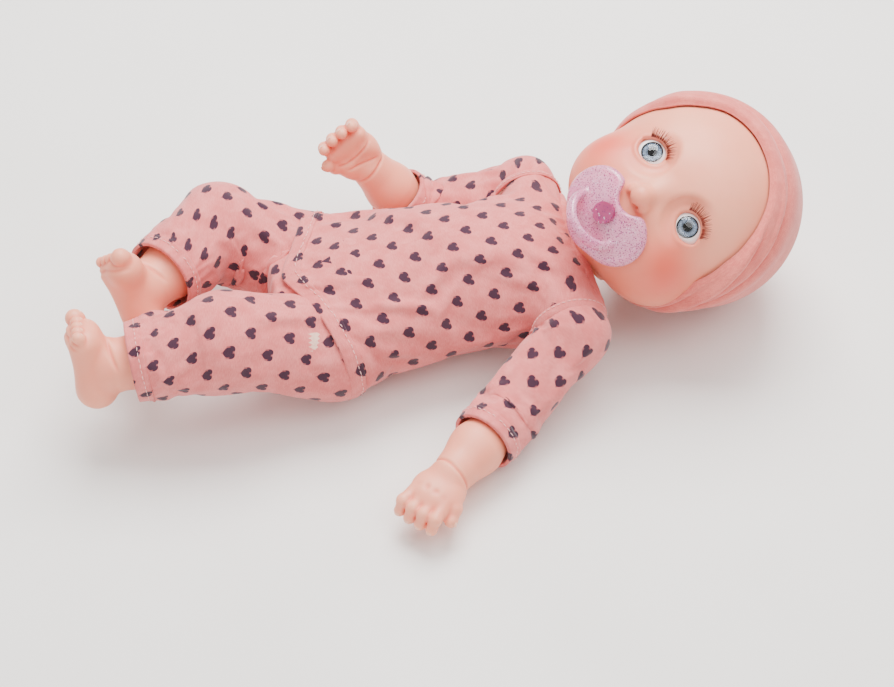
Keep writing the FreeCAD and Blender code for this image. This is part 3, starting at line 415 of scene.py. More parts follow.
def grained(name, base, other, roughness, scale=260.0, bump=0.15, **sockets):
    """A plain moulded, metal or cloth finish with slight grain and colour change."""
    paint = Paint(name, base, roughness, **sockets)
    place = paint.object_space()
    cloud = paint.noise(scale, 4, place)
    paint.colour(paint.mix(paint.range(cloud, 0.3, 0.72), base, other))
    paint.rough(paint.range(cloud, 0.3, 0.7, roughness * 0.85, min(1.0, roughness * 1.15)))
    paint.bump(paint.noise(scale * 6, 3, place), bump, 0.06)
    return paint.material


def iris_paint(name, centre, gaze, up):
    """Grey-blue iris with fibres, a dark rim and a black pupil, drawn about the eye's own axis."""
    paint = Paint(name, srgb(170, 182, 196), 0.7, Specular_IOR_Level=0.0)
    side = np.cross(up, gaze)
    side = unit(side)
    rise = np.cross(gaze, side)
    place = paint.add("ShaderNodeVectorMath", {"operation": "SUBTRACT"},
                      {0: paint.object_space(), 1: tuple(centre * MM)}).outputs[0]
    flat = []
    for way in (side, rise):
        dot = paint.add("ShaderNodeVectorMath", {"operation": "DOT_PRODUCT"}, {0: place, 1: tuple(way / MM)})
        flat.append(dot.outputs["Value"])
    radius = paint.math("SQRT", paint.math("ADD", paint.math("MULTIPLY", flat[0], flat[0]),
                                           paint.math("MULTIPLY", flat[1], flat[1])))
    angle = paint.math("ARCTAN2", flat[1], flat[0])
    wheel = paint.add("ShaderNodeCombineXYZ", None, {0: paint.math("MULTIPLY", paint.math("SINE", angle), 9.0),
                                                    1: paint.math("MULTIPLY", paint.math("COSINE", angle),
                                                            9.0),
                                                    2: paint.math("MULTIPLY", radius, 0.35)}).outputs[0]
    fibres = paint.noise(2.2, 4, wheel, 0.7)
    tint = paint.mix(paint.range(fibres, 0.36, 0.64), srgb(58, 70, 88), srgb(150, 165, 186))
    tint = paint.mix(paint.range(radius, 2.1, 3.0, 0.5, 0.0), tint, srgb(16, 20, 30))
    tint = paint.mix(paint.range(radius, 3.5, 4.4), tint, srgb(5, 6, 10))
    tint = paint.mix(paint.range(radius, 2.15, 1.9), tint, (0.001, 0.001, 0.0012))
    paint.colour(tint)
    return paint.material


VINYL = vinyl()
PRINT = knit("printed jersey", PINK, PINK_DEEP, True)
PLAIN = knit("plain jersey", PINK, PINK_DEEP, False)
CAP_CLOTH = knit("cap jersey", srgb(230, 124, 112), srgb(212, 98, 90), False, twill=0.62)
THREAD = thread()
GEL = glitter_gel("glitter gel", srgb(252, 178, 208), srgb(246, 150, 192), 0.34)
HUB_GEL = glitter_gel("hub gel", srgb(206, 62, 130), srgb(176, 36, 104), 0.3)
LASH = grained("lash hair", srgb(104, 34, 22), srgb(140, 54, 36), 0.5, 400)
NAIL = grained("nail", srgb(252, 186, 160), srgb(250, 176, 150), 0.3, 200, Coat_Weight=0.2)


# ---------------------------------------------------------------- head
FACE_WAY = unit((-0.268, -0.455, 0.849))
LEFT_WAY = unit(np.cross((0.943, 0.058, 0.328), FACE_WAY))
CROWN_WAY = np.cross(FACE_WAY, LEFT_WAY)
HEAD_AXES = np.array([FACE_WAY, LEFT_WAY, CROWN_WAY])
HEAD_AT = vec(107.2, 0, 52.5)
EYES = {"right": (vec(29, -16.8, -2), unit((0.983, -0.163, 0.081)), -1),
        "left": (vec(29, 16.8, -2), unit((0.983, 0.163, 0.081)), 1)}
SKULL = (vec(-2, 0, 7), vec(46, 44.5, 45))
NECK = joint_at("head_turn")
NECK_WAY = joint_axis("head_turn")


def to_head(p):
    return (p - HEAD_AT) @ HEAD_AXES.T


def from_head(q):
    return np.asarray(q, float) @ HEAD_AXES + HEAD_AT


def eye_opening(q, centre, gaze, outward):
    """Distance to the almond hole between the lids, and the height along the gaze."""
    side = unit(np.cross((0, 0, 1), gaze)) * outward
    rise = np.cross(gaze, side) * outward
    r = q - centre
    across, high, deep = r @ side, r @ rise, r @ gaze
    tilt = 0.12 * across
    upper = np.hypot(across - 0.3, high + 2.5 + tilt) - 8.0
    lower = np.hypot(across - 0.3, high - 2.9 + tilt) - 7.9
    inner = np.hypot(across - 1.4, high) - 7.7
    almond = -join(-np.maximum(upper, lower), -inner, 1.5)
    return almond, deep


def head_field(p):
    q = to_head(p)
    d = egg(q, *SKULL)
    d = join(d, egg(q, vec(9, 0, -17), vec(33, 37, 28)), 9)
    for side in (-1, 1):
        d = join(d, egg(q, vec(14, side * 20, -21), vec(22, 16.5, 17)), 9)
        d = join(d, ball(q, vec(38.6, side * 6.0, -17.0), 2.4), 4.0)
    d = join(d, egg(q, vec(31, 0, -28), vec(9.5, 13, 11)), 6)
    d = join(d, egg(q, vec(24, 0, -38), vec(9, 10, 7)), 6)
    d = join(d, rod(q, vec(39.5, 0, -2), vec(43.4, 0, -11), 2.6, 3.4), 5)
    d = join(d, ball(q, vec(45.9, 0, -13.9), 4.8), 2.4)
    for side in (-1, 1):
        d = join(d, ball(q, vec(43.6, side * 4.4, -15.4), 2.8), 1.4)
        d = carve(d, rod(q, vec(44.5, side * 2.6, -16.5), vec(46.8, side * 2.9, -20.5), 1.1, 1.5), 0.9)
    lips = join(egg(q, vec(39.4, 0, -26.8), vec(4, 7.4, 2.4)), egg(q, vec(38.8, 0, -34.0), vec(4, 6.4, 2.4)),
                0.8)
    d = join(d, lips, 1.6)
    d = carve(d, rod(q, vec(30, 0, -30.5), vec(52, 0, -30.5), 4.6, 4.6), 1.0)
    for centre, gaze, outward in EYES.values():
        socket = egg(q, centre + gaze * 12.7, vec(4.5, 12.5, 11.0))
        d = carve(d, socket, 3.0)
        almond, deep = eye_opening(q, centre, gaze, outward)
        rim = np.exp(-np.square((almond - 1.3) / 1.1)) * fade(deep, 4, 7)
        d = d - 0.55 * rim
        pocket = np.maximum(almond, 3.6 - deep)
        d = carve(d, pocket, 0.7)
    neck = rod(p, NECK - NECK_WAY * 0.8, NECK + NECK_WAY * 14, 15.0, 18.0)
    return join(d, np.maximum(neck, -((p - NECK) @ NECK_WAY) - 1.2), 5)


def head_tint(p):
    q = to_head(p)
    blush_and_shade = np.full(len(q), 0.10)
    for side in (-1, 1):
        blush_and_shade = blush_and_shade + 0.74 * np.exp(-np.square(np.linalg.norm((q - vec(25, side * 30, -19)) / vec(24, 15,
                15), axis=1)))
        blush_and_shade = blush_and_shade + 0.16 * np.exp(-np.square(np.linalg.norm((q - vec(34, side * 22, -14)) / vec(14, 13,
                9), axis=1)))
        blush_and_shade = blush_and_shade + 0.25 * np.exp(-np.square(np.linalg.norm((q - vec(42, side * 5, -16)) / vec(5, 3, 3),
                axis=1)))
    # partly blush and partly painted shade: the first term makes the lower face redder than the forehead; the
    # last is blush on the nose tip
    blush_and_shade = blush_and_shade + 0.30 * fade(-q[:, 2], 22,
                                46) + 0.16 * np.exp(-np.square(np.linalg.norm(q - vec(50, 0, -15), axis=1) / 5))
    blush_and_shade = blush_and_shade + 0.30 * np.exp(-np.square(np.linalg.norm((q - vec(40, 0, -28)) / vec(8, 10, 7), axis=1)))
    # painted shade, from here on: darker red along the lid edges and in the nostrils
    crease_shade = np.zeros(len(q))
    for centre, gaze, outward in EYES.values():
        almond, deep = eye_opening(q, centre, gaze, outward)
        blush_and_shade = blush_and_shade + 0.12 * np.exp(-np.square((almond - 2.5) / 3.5)) * fade(deep, 4, 8)
        # painted shade along the edges of the lids
        crease_shade = crease_shade + 0.35 * np.exp(-np.square(almond / 0.8)) * fade(deep, 4, 8)
    # painted shade in the nostrils
    for side in (-1, 1):
        crease_shade = crease_shade + 0.8 * np.exp(-np.square(np.linalg.norm(q - vec(45.2, side * 2.5, -18.4),
                axis=1) / 1.7))
    return blush_and_shade, crease_shade


def build_head():
    low, high = (np.array(corner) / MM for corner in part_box("head_shell"))
    head = moulded("head_vinyl", low - 5, high + 5, head_field, 0.6, VINYL)
    blush_and_shade, crease_shade = head_tint(points_of(head))
    write_attribute(head, "blush_and_shade", blush_and_shade)
    write_attribute(head, "crease_shade", crease_shade)
    mount(head, "head", "head_shell")


def strand_mesh(name, strands, material, sides, taper):
    """Thin round strands as one mesh. A strand is (points, radius); taper gives the radius left along it."""
    points, faces = [], []
    for path, radius in strands:
        base, steps = len(points), len(path)
        for k, at in enumerate(path):
            ahead = unit(path[min(k + 1, steps - 1)] - path[max(k - 1, 0)])
            a = unit(np.cross(ahead, (0.31, 0.52, 0.79)))
            b = np.cross(ahead, a)
            r = radius * taper(k / (steps - 1))
            points += [at + r * (math.cos(t) * a
                                 + math.sin(t) * b) for t in np.arange(sides) * 2 * math.pi / sides]
        for k in range(steps - 1):
            row = base + sides * k
            for j in range(sides):
                n = (j + 1) % sides
                faces.append((row + j, row + n, row + sides + n, row + sides + j))
        faces.append(tuple(base + j for j in reversed(range(sides))))
        faces.append(tuple(base + sides * (steps - 1) + j for j in range(sides)))
    return piece(name, points, faces, material)


def build_lashes():
    rng = np.random.default_rng(11)
    for tag, (centre, gaze, outward) in EYES.items():
        side = unit(np.cross((0, 0, 1), gaze)) * outward
        rise = np.cross(gaze, side) * outward
        t = -0.92 + 1.9 * (np.arange(46) + rng.uniform(-0.4, 0.4, 46)) / 45
        across = 6.9 * np.sin(t * 1.2)
        high = np.sqrt(np.maximum(0.4, 64.5 - (across - 0.3) ** 2)) - 2.5 - 0.12 * across
        flat = centre + across[:, None] * side + (high[:, None] + 0.55) * rise
        ahead = np.full(len(t), 15.0)
        for _ in range(40):
            ahead -= 0.8 * head_field(from_head(flat + ahead[:, None] * gaze))
        roots = flat + (ahead - 0.15)[:, None] * gaze
        strands = []
        for k, root in enumerate(roots):
            away = unit(side * (0.16 * across[k] + rng.normal(0, 0.12)) + rise * (1.0 + rng.normal(0, 0.05)))
            long = (4.3 - 0.7 * abs(t[k])) * rng.uniform(0.82, 1.08)
            path = [from_head(root + away * long * (0.25 * s + 0.75 * s ** 1.4) + gaze * (3.8 * s - 1.2 * s * s))
                    for s in np.linspace(0.0, 1, 7)]
            strands.append((path, 0.19))
        lashes = strand_mesh(f"lashes_{tag}", strands, LASH, 4, lambda share: 1 - 0.88 * share)
        mount(lashes, "head", f"eyelashes_{tag}")


# ---------------------------------------------------------------- vinyl forearms and hands
ARMS = {"right": {"palm": vec(-0.2, -0.75, 0.6), "thumb": -1},
        "left": {"palm": vec(0.1, 0.1, -1.0), "thumb": 1}}
LEGS = {"right": {"toes": vec(-0.336, 0.352, 0.872), "inner": -1},
        "left": {"toes": vec(-0.12, 0.45, 0.88), "inner": 1}}


def arm_parts(side):
    spec = ARMS[side]
    start, aim = joint_at(f"forearm_turn_{side}"), joint_axis(f"forearm_turn_{side}")
    across = unit(np.cross(aim, spec["palm"]))
    palm = np.cross(across, aim)
    wrist = start + aim * 38.0
    centre = wrist + aim * 10.0
    fingers = []
    for k in range(4):
        shift = across * ((k - 1.5) * 5.1)
        reach = 8.2 - 0.7 * abs(k - 1.4)
        root = centre + shift * 0.92 + aim * 4.5
        middle = centre + shift * 1.06 + aim * (reach + 4.6) + palm * 0.2
        tip = middle + aim * 2.2 + palm * 4.4
        fingers.append((root, middle, tip))
    thumb_root = centre + across * (spec["thumb"] * 6.0) - aim * 2.5
    thumb_mid = centre + across * (spec["thumb"] * 10.6) + aim * 1.5 + palm * 1.8
    thumb_tip = centre + across * (spec["thumb"] * 12.2) + aim * 6.0 + palm * 4.0
    return start, aim, across, palm, wrist, centre, fingers, (thumb_root, thumb_mid, thumb_tip), spec["thumb"]


def arm_field_of(side):
    start, aim, across, palm, wrist, centre, fingers, thumb, hand_side = arm_parts(side)
    axes = np.array([palm, across, aim])

    def field(p):
        d = rod(p, start + aim * 7, start + aim * 20, 9.6, 11.2)
        d = join(d, rod(p, start + aim * 20, wrist - aim * 1, 11.0, 8.9), 4)
        flange = np.maximum(rod(p, start - aim * 2, start + aim * 8, 6.4, 6.4), 0.2 - (p - start) @ aim)
        d = join(d, flange, 1.0)
        hand = egg(p, centre, vec(6.0, 11.0, 10.6), axes)
        hand = join(hand, egg(p, centre + across * (hand_side * 6.2) - aim * 3.2 + palm * 2.4,
                              vec(4.6, 4.8, 6.6), axes), 2.5)
        hand = join(hand, egg(p, centre - across * (hand_side * 6.4) - aim * 2.4 + palm * 2.2,
                              vec(4.2, 4.2, 7.0), axes), 2.5)
        hand = join(hand, rod(p, centre + across * 7.4 + aim * 6.4 + palm * 1.6,
                              centre - across * 7.4 + aim * 6.4 + palm * 1.6, 3.5, 3.3), 2.0)
        d = join(d, hand, 3.0)
        for root, middle, tip in fingers:
            finger = join(rod(p, root, middle, 3.0, 2.75), rod(p, middle, tip, 2.7, 2.2), 1.2)
            finger = join(finger, ball(p, tip + palm * 0.3, 2.25), 1.2)
            d = join(d, finger, 1.1)
        d = join(d, rod(p, thumb[0], thumb[1], 3.9, 3.2), 2.0)
        d = join(d, join(rod(p, thumb[1], thumb[2], 3.0, 2.5), ball(p, thumb[2], 2.7), 1.0), 1.2)
        along = (p - wrist) @ aim
        near_wrist = fade(-np.abs(along - 0.0), -5, -1)
        d = groove(d, along - 0.6 * np.sin((p - wrist) @ across / 4.0), near_wrist, 0.75, 0.75)
        r = p - centre
        d = groove(d, r @ aim - 0.9 - 0.05 * (r @ across) ** 2 * 0.4,
                   fade(r @ palm, 1.5, 4.5) * fade(-np.abs(r @ across), -10, -7), 0.5, 0.6)
        d = groove(d, r @ aim + 3.6 - 0.35 * (r @ across) * hand_side,
                   fade(r @ palm, 1.5, 4.5) * fade(-np.abs(r @ across), -8, -5), 0.45, 0.7)
        for k in range(4):
            root = fingers[k][0]
            dimple = root - palm * 5.2 - aim * 1.0
            d = d + 0.5 * np.exp(-np.square(np.linalg.norm(p - dimple, axis=1) / 1.5))
        return d
    return field


def tint_by_concavity(obj, field, base, strength):
    """A flat blush, with painted shade where the moulding turns inward: redder in its hollows, darker red in its
    creases.
    """
    p = points_of(obj)
    soft = p.copy()
    edges = edges_of(obj)
    for _ in range(6):
        soft = relax(soft, edges, 0.6)
    slope = gradient(field, p, field(p))
    slope /= np.maximum(np.linalg.norm(slope, axis=1), 1e-6)[:, None]
    inward = ((soft - p) * slope).sum(1)
    for _ in range(3):
        spread = relax(np.repeat(inward[:, None], 3, 1), edges, 0.5)
        inward = spread[:, 0]
    # a flat blush plus painted shade: more of the blush colour where the surface turns inward
    write_attribute(obj, "blush_and_shade", base + strength * np.clip(inward / 0.25, -0.4, 1))
    write_attribute(obj, "crease_shade", 0.55 * np.clip(inward / 0.45, 0, 1))


def nail(centre, out, along, across, wide, long):
    """A small curved nail plate, set into the tip."""
    points, faces = [], []
    rows, cols = 7, 7
    for i in range(rows):
        for j in range(cols):
            u, v = -1 + 2 * j / (cols - 1), -1 + 2 * i / (rows - 1)
            round_off = math.sqrt(max(0.0, 1 - 0.55 * v * v))
            drop = 0.42 * u * u + 0.25 * v * v
            points.append(centre + across * (u * wide * round_off) + along * (v * long)
                          - out * (drop * wide * 0.7))
    for i in range(rows - 1):
        for j in range(cols - 1):
            faces.append((i * cols + j, i * cols + j + 1, (i + 1) * cols + j + 1, (i + 1) * cols + j))
    return points, faces


def build_nails(name, plates, body):
    points, faces = [], []
    for plate in plates:
        more, quads = nail(*plate)
        faces += [tuple(len(points) + k for k in quad) for quad in quads]
        points += more
    obj = piece(name, points, faces, NAIL)
    thick = obj.modifiers.new("Thickness", "SOLIDIFY")
    thick.thickness = 0.35 * MM
    thick.offset = 0.0
    smooth_once(obj)
    mount(obj, body)


def build_arm(side):
    _, aim, across, _, _, _, fingers, thumb, hand_side = arm_parts(side)
    field = arm_field_of(side)
    low, high = (np.array(corner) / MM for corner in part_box(f"arm_{side}"))
    obj = moulded(f"forearm_hand_{side}", low - 4, high + 4, field, 0.42, VINYL)
    tint_by_concavity(obj, field, 0.22, 0.55)
    body = f"{side}_forearm"
    mount(obj, body, f"arm_{side}")
    plates = []
    for _, middle, tip in fingers:
        way = unit(tip - middle)
        out = unit(np.cross(across, way))
        if out @ aim < 0:
            out = -out
        plates.append((tip + out * 2.25 + way * 0.4, out, way, across, 1.35, 1.5))
    way = unit(thumb[2] - thumb[1])
    out = unit(across * hand_side - way * (across @ way) * hand_side)
    plates.append((thumb[2] + out * 2.7 + way * 0.4, out, way, unit(np.cross(way, out)), 1.6, 1.8))
    build_nails(f"finger_nails_{side}", plates, body)


# ---------------------------------------------------------------- vinyl shanks and feet
def leg_parts(side):
    spec = LEGS[side]
    start, aim = joint_at(f"leg_turn_{side}"), joint_axis(f"leg_turn_{side}")
    toe_way = unit(spec["toes"] - aim * (spec["toes"] @ aim))
    across = unit(np.cross(aim, toe_way)) * spec["inner"]
    ankle = start + aim * 29.0
    heel = ankle + aim * 10.0 - toe_way * 8.0
    ball_in = ankle + aim * 11.0 + toe_way * 14.0 + across * 4.2
    ball_out = ankle + aim * 11.0 + toe_way * 13.0 - across * 3.6
    toes = []
    for k in range(5):
        radius = 3.9 if k == 0 else 2.9 - 0.12 * k
        spot = ball_in + toe_way * (6.6 - 0.75 * k) + across * (3.4
                - 3.85 * k) + aim * (1.2 if k == 0 else 0.4)
        toes.append((spot, radius))
    return start, aim, toe_way, across, ankle, heel, ball_in, ball_out, toes


def leg_field_of(side):
    start, aim, toe_way, across, ankle, heel, ball_in, ball_out, toes = leg_parts(side)

    def field(p):
        d = rod(p, start + aim * 7, start + aim * 16, 10.6, 12.2)
        d = join(d, rod(p, start + aim * 16, ankle + aim * 2, 12.0, 10.2), 4)
        flange = np.maximum(rod(p, start - aim * 2, start + aim * 8, 6.4, 6.4), 0.2 - (p - start) @ aim)
        d = join(d, flange, 1.0)
        foot = join(ball(p, heel, 8.0), rod(p, ankle, ankle + aim * 9, 9.6, 7.2), 4)
        foot = join(foot, rod(p, heel, ball_in, 7.4, 6.9), 4)
        foot = join(foot, rod(p, heel, ball_out, 7.2, 6.5), 4)
        foot = join(foot, ball(p, ball_in + aim * 0.4, 7.0), 3)
        foot = join(foot, rod(p, ankle + aim * 1, (ball_in + ball_out) / 2 - aim * 3, 8.0, 5.0), 5)
        d = join(d, foot, 3.5)
        for spot, radius in toes:
            back = spot - toe_way * (radius * 1.5) - aim * 0.6
            toe = join(rod(p, back, spot, radius * 0.8, radius * 0.96),
                       ball(p, spot + toe_way * 0.9 + aim * 0.9, radius), 0.8)
            d = join(d, toe, 0.35)
        r = p - heel
        sole = r @ aim
        arch = ankle + aim * 18.6 + toe_way * 2.5 + across * 3.0
        d = d + 1.1 * np.exp(-np.square(np.linalg.norm((p - arch) / 7.0, axis=1)))
        ball_line = (p - ball_in) @ toe_way - 3.4 + 0.06 * ((p - ball_in) @ across) ** 2 * 0.35
        d = groove(d, ball_line, fade(sole, 2.0, 6.0), 0.55, 0.8)
        ankle_line = (p - ankle) @ aim + 1.2 - 0.25 * ((p - ankle) @ toe_way)
        d = groove(d, ankle_line, fade((p - ankle) @ toe_way, 0, 5), 0.7, 1.0)
        return d
    return field


def build_leg(side):
    _, aim, toe_way, across, _, _, _, _, toes = leg_parts(side)
    field = leg_field_of(side)
    low, high = (np.array(corner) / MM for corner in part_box(f"leg_{side}"))
    obj = moulded(f"shank_foot_{side}", low - 4, high + 4, field, 0.42, VINYL)
    tint_by_concavity(obj, field, 0.26, 0.6)
    body = f"{side}_shank"
    mount(obj, body, f"leg_{side}")
    plates = []
    for spot, radius in toes:
        out = unit(-aim + toe_way * 0.55)
        way = unit(toe_way - out * (toe_way @ out))
        plates.append((spot + toe_way * 0.5 + aim * 0.5 + out * radius * 0.98, out, way, across, radius * 0.5,
                       radius * 0.52))
    build_nails(f"toe_nails_{side}", plates, body)


# ---------------------------------------------------------------- garments as woven grids
def route(points, bends, spacing):
    """Rows along a path with rounded corners: centres and directions, evenly spaced."""
    legs = [np.asarray(points[0], float)]
    for k in range(1, len(points) - 1):
        corner, before, after = points[k], unit(points[k - 1] - points[k]), unit(points[k + 1] - points[k])
        half = 0.5 * math.acos(np.clip(before @ after, -1, 1))
        room = min(np.linalg.norm(points[k - 1] - corner), np.linalg.norm(points[k + 1] - corner) / 2) * 0.96
        bend = min(bends[k - 1], room * math.tan(half))
        reach = bend / math.tan(half)
        middle = corner + unit(before + after) * (bend / math.sin(half))
        first, last = corner + before * reach, corner + after * reach
        a, b = unit(first - middle), unit(last - middle)
        turn = math.acos(np.clip(a @ b, -1, 1))
        for s in np.linspace(0, 1, 24):
            legs.append(middle + bend * (math.sin((1 - s) * turn) * a
                                         + math.sin(s * turn) * b) / math.sin(turn))
    legs.append(np.asarray(points[-1], float))
    legs = np.array(legs)
    run = np.r_[0, np.cumsum(np.linalg.norm(np.diff(legs, axis=0), axis=1))]
    count = max(4, int(round(run[-1] / spacing))) + 1
    at = np.linspace(0, run[-1], count)
    centres = np.stack([np.interp(at, run, legs[:, k]) for k in range(3)], 1)
    ways = np.gradient(centres, axis=0)
    ways /= np.linalg.norm(ways, axis=1)[:, None]
    return centres, ways, at


def reach_skin(field, origins, directions, limit=80.0):
    """Walks outward from inside a field until its skin."""
    far = np.zeros(len(origins))
    for _ in range(60):
        d = field(origins + directions * far[:, None])
        far = np.minimum(far + np.maximum(-d, 0.0) * 0.9, limit)
        if (-d).max() < 0.005:
            break
    return origins + directions * far[:, None]


def row_frames(ways, first_side):
    """A side direction for each row, carried along the path without twist."""
    sides = []
    side = first_side
    for way in ways:
        side = unit(side - way * (side @ way))
        sides.append(side)
    return np.array(sides)


def skin_grid(field, centres, ways, first_side, columns, limit=80.0):
    sides = row_frames(ways, first_side)
    angles = np.arange(columns) * 2 * math.pi / columns
    others = np.cross(ways, sides)
    directions = (sides[:, None, :] * np.cos(angles)[None, :, None]
                  + others[:, None, :] * np.sin(angles)[None, :, None])
    origins = np.repeat(centres[:, None, :], columns, 1)
    flat = reach_skin(field, origins.reshape(-1, 3), directions.reshape(-1, 3), limit)
    return flat.reshape(len(centres), columns, 3)


def grid_normals(grid):
    along = np.gradient(grid, axis=0)
    round_way = np.roll(grid, -1, 1) - np.roll(grid, 1, 1)
    normal = np.cross(round_way, along)
    normal /= np.maximum(np.linalg.norm(normal, axis=2), 1e-9)[:, :, None]
    middle = grid.mean(1, keepdims=True)
    if ((grid - middle) * normal).sum() < 0:
        normal = -normal
    return normal


def ripple(p, size, seed, waves=7):
    """Smooth aimless waviness, about -1 to 1."""
    rng = np.random.default_rng(seed)
    total = np.zeros(len(p))
    for _ in range(waves):
        way = unit(rng.normal(size=3)) * rng.uniform(0.6, 1.4) / size
        total += np.sin(p @ way * 2 * math.pi + rng.uniform(0, 6.28))
    return total / math.sqrt(waves) / 1.2


def fold_height(p, folds):
    """Soft ridges with a hollow beside each. A fold is (start, end, width, height)."""
    total = np.zeros(len(p))
    for start, end, width, height in folds:
        start, end = np.asarray(start, float), np.asarray(end, float)
        way = end - start
        share = np.clip((p - start) @ way / (way @ way), 0, 1)
        off = np.linalg.norm(p - start - share[:, None] * way, axis=1)
        ends = np.sin(np.clip(share * 0.9 + 0.05, 0, 1) * math.pi)
        total += height * ends * (np.exp(-np.square(off / width))
                                  - 0.45 * np.exp(-np.square((off - 2.0 * width) / width)))
    return total


def cloth_object(name, grid, cloth_u, cloth_v, material):
    """A tube of rows by columns as quads, with cloth coordinates that count print cells."""
    rows, columns = grid.shape[:2]
    cloth_v = np.broadcast_to(np.asarray(cloth_v).reshape(rows, -1), (rows, columns))
    faces, coords = [], []
    for i in range(rows - 1):
        for j in range(columns):
            k = (j + 1) % columns
            faces.append((i * columns + j, i * columns + k, (i + 1) * columns + k, (i + 1) * columns + j))
            coords += [(cloth_u[j], cloth_v[i, j]), (cloth_u[j + 1], cloth_v[i, k]),
                       (cloth_u[j + 1], cloth_v[i + 1, k]), (cloth_u[j], cloth_v[i + 1, j])]
    obj = piece(name, grid.reshape(-1, 3), faces, material)
    layer = obj.data.uv_layers.new(name="cloth")
    layer.data.foreach_set("uv", np.array(coords, np.float32).ravel())
    return obj


def round_share(ring, cells):
    """Cloth coordinate of each column, even along the cloth and closing on a whole number of cells."""
    run = np.r_[0, np.cumsum(np.linalg.norm(np.diff(closed_loop(ring), axis=0), axis=1))]
    return run / run[-1] * cells


def thicken(obj, thickness):
    """Rounds the cloth off and gives it a wall, inward of its outer face."""
    smooth_once(obj)
    wall = obj.modifiers.new("Thickness", "SOLIDIFY")
    wall.thickness = thickness * MM
    wall.offset = -1.0
    wall.use_even_offset = False


def sew(name, ring, outward_ring, body, pitch, long, radius):
    """Machine stitches round a closed line that lies on the cloth."""
    path, outward = closed_loop(ring), closed_loop(outward_ring)
    run = np.r_[0, np.cumsum(np.linalg.norm(np.diff(path, axis=0), axis=1))]
    count = int(run[-1] / pitch)
    strands = []
    for k in range(count):
        middle = (k + 0.5) * pitch
        at = np.linspace(middle - long / 2, middle + long / 2, 5)
        line = np.stack([np.interp(at, run, path[:, c]) for c in range(3)], 1)
        rise = np.stack([np.interp(at, run, outward[:, c]) for c in range(3)], 1)
        bow = 0.16 * (1 - np.linspace(-1, 1, 5) ** 2)
        strands.append((line + rise * bow[:, None], radius))
    mount(strand_mesh(name, strands, THREAD, 6, lambda share: 0.35 if share in (0, 1) else 1.0), body)


def closed_loop(row):
    return np.vstack([row, row[:1]])


def strip_over(name, path, outward, wide_way, half_width, thick, material):
    """A folded binding: a rounded flat strip that follows a path on the cloth."""
    section = [(-1, -0.35), (-0.92, 0.35), (-0.55, 0.85), (0.0, 1.0), (0.55, 0.85), (0.92, 0.35), (1, -0.35),
               (0.0, -0.5)]
    steps = len(path)
    points, faces = [], []
    for k in range(steps):
        for across, high in section:
            points.append(path[k] + wide_way[k] * (across * half_width) + outward[k] * (high * thick))
    size = len(section)
    coords = []
    run = np.r_[0, np.cumsum(np.linalg.norm(np.diff(path, axis=0), axis=1))]
    for k in range(steps):
        n = (k + 1) % steps
        for j in range(size):
            m = (j + 1) % size
            faces.append((k * size + j, n * size + j, n * size + m, k * size + m))
            a, b = run[k] / HEART_CELL, run[min(k + 1, steps - 1)] / HEART_CELL
            coords += [(j / size, a), (j / size, b), ((j + 1) / size, b), ((j + 1) / size, a)]
    obj = piece(name, points, faces, material)
    layer = obj.data.uv_layers.new(name="cloth")
    layer.data.foreach_set("uv", np.array(coords, np.float32).ravel())
    smooth_once(obj)
    return obj


# ---------------------------------------------------------------- the cloth simulation
def drape(obj, hold, grow, frames, pressure, cap, floor_field):
    """Lets a garment settle: slightly larger than its cut, held at its ends, kept off the body inside it."""
    scene = bpy.context.scene
    start = points_of(obj)
    group = obj.vertex_groups.new(name="held")
    for index, weight in enumerate(hold.ravel()):
        group.add([index], float(weight), "REPLACE")
    cloth = obj.modifiers.new("Cloth", "CLOTH")
    settings = cloth.settings
    settings.quality = 6
    settings.mass = 0.05
    settings.tension_stiffness = 12
    settings.compression_stiffness = 12
    settings.shear_stiffness = 4
    settings.bending_stiffness = 0.04
    settings.shrink_min = -grow
    settings.vertex_group_mass = "held"
    settings.pin_stiffness = 1.0
    settings.use_pressure = True
    settings.uniform_pressure_force = pressure
    settings.effector_weights.gravity = 0
    cloth.collision_settings.use_collision = False
    cloth.point_cache.frame_start, cloth.point_cache.frame_end = 1, frames
    for number in range(1, frames + 1):
        scene.frame_set(number)
    graph = bpy.context.evaluated_depsgraph_get()
    shape = obj.evaluated_get(graph).to_mesh()
    out = np.empty(len(shape.vertices) * 3)
    shape.vertices.foreach_get("co", out)
    moved = out.reshape(-1, 3) / MM
    obj.modifiers.remove(cloth)
    scene.frame_set(1)
    step = moved - start
    size = np.linalg.norm(step, axis=1)
    step *= (cap * np.tanh(size / cap) / np.maximum(size, 1e-9))[:, None]
    settled = keep_outside(start + step, floor_field)
    set_points(obj, settled)


def keep_outside(p, field):
    d = field(p)
    slope = gradient(field, p, d)
    slope /= np.maximum(np.linalg.norm(slope, axis=1), 1e-6)[:, None]
    return p + slope * np.maximum(-d, 0)[:, None]


# ---------------------------------------------------------------- the top
SHOULDERS = {side: joint_at(f"shoulder_{side}") for side in ("right", "left")}
HIPS = {side: joint_at(f"hip_{side}") for side in ("right", "left")}
# along the body: place, half width, half depth, height of the middle
TOP_STATIONS = np.array([(-74, 41.5, 20.5, 27.0), (-60, 44.0, 25.5, 27.5), (-46, 42.5, 28.8, 28.6),
                         (-28, 38.6, 30.6, 28.9), (-8, 37.0, 31.0, 29.0), (16, 36.3, 29.9, 28.6),
                         (38, 34.8, 26.8, 28.8), (49, 32.6, 22.8, 29.4),
                         (56, 28.4, 17.8, 30.2), (61, 23.0, 13.4, 31.2)])
BOTTOM_CLEAR = 0.9


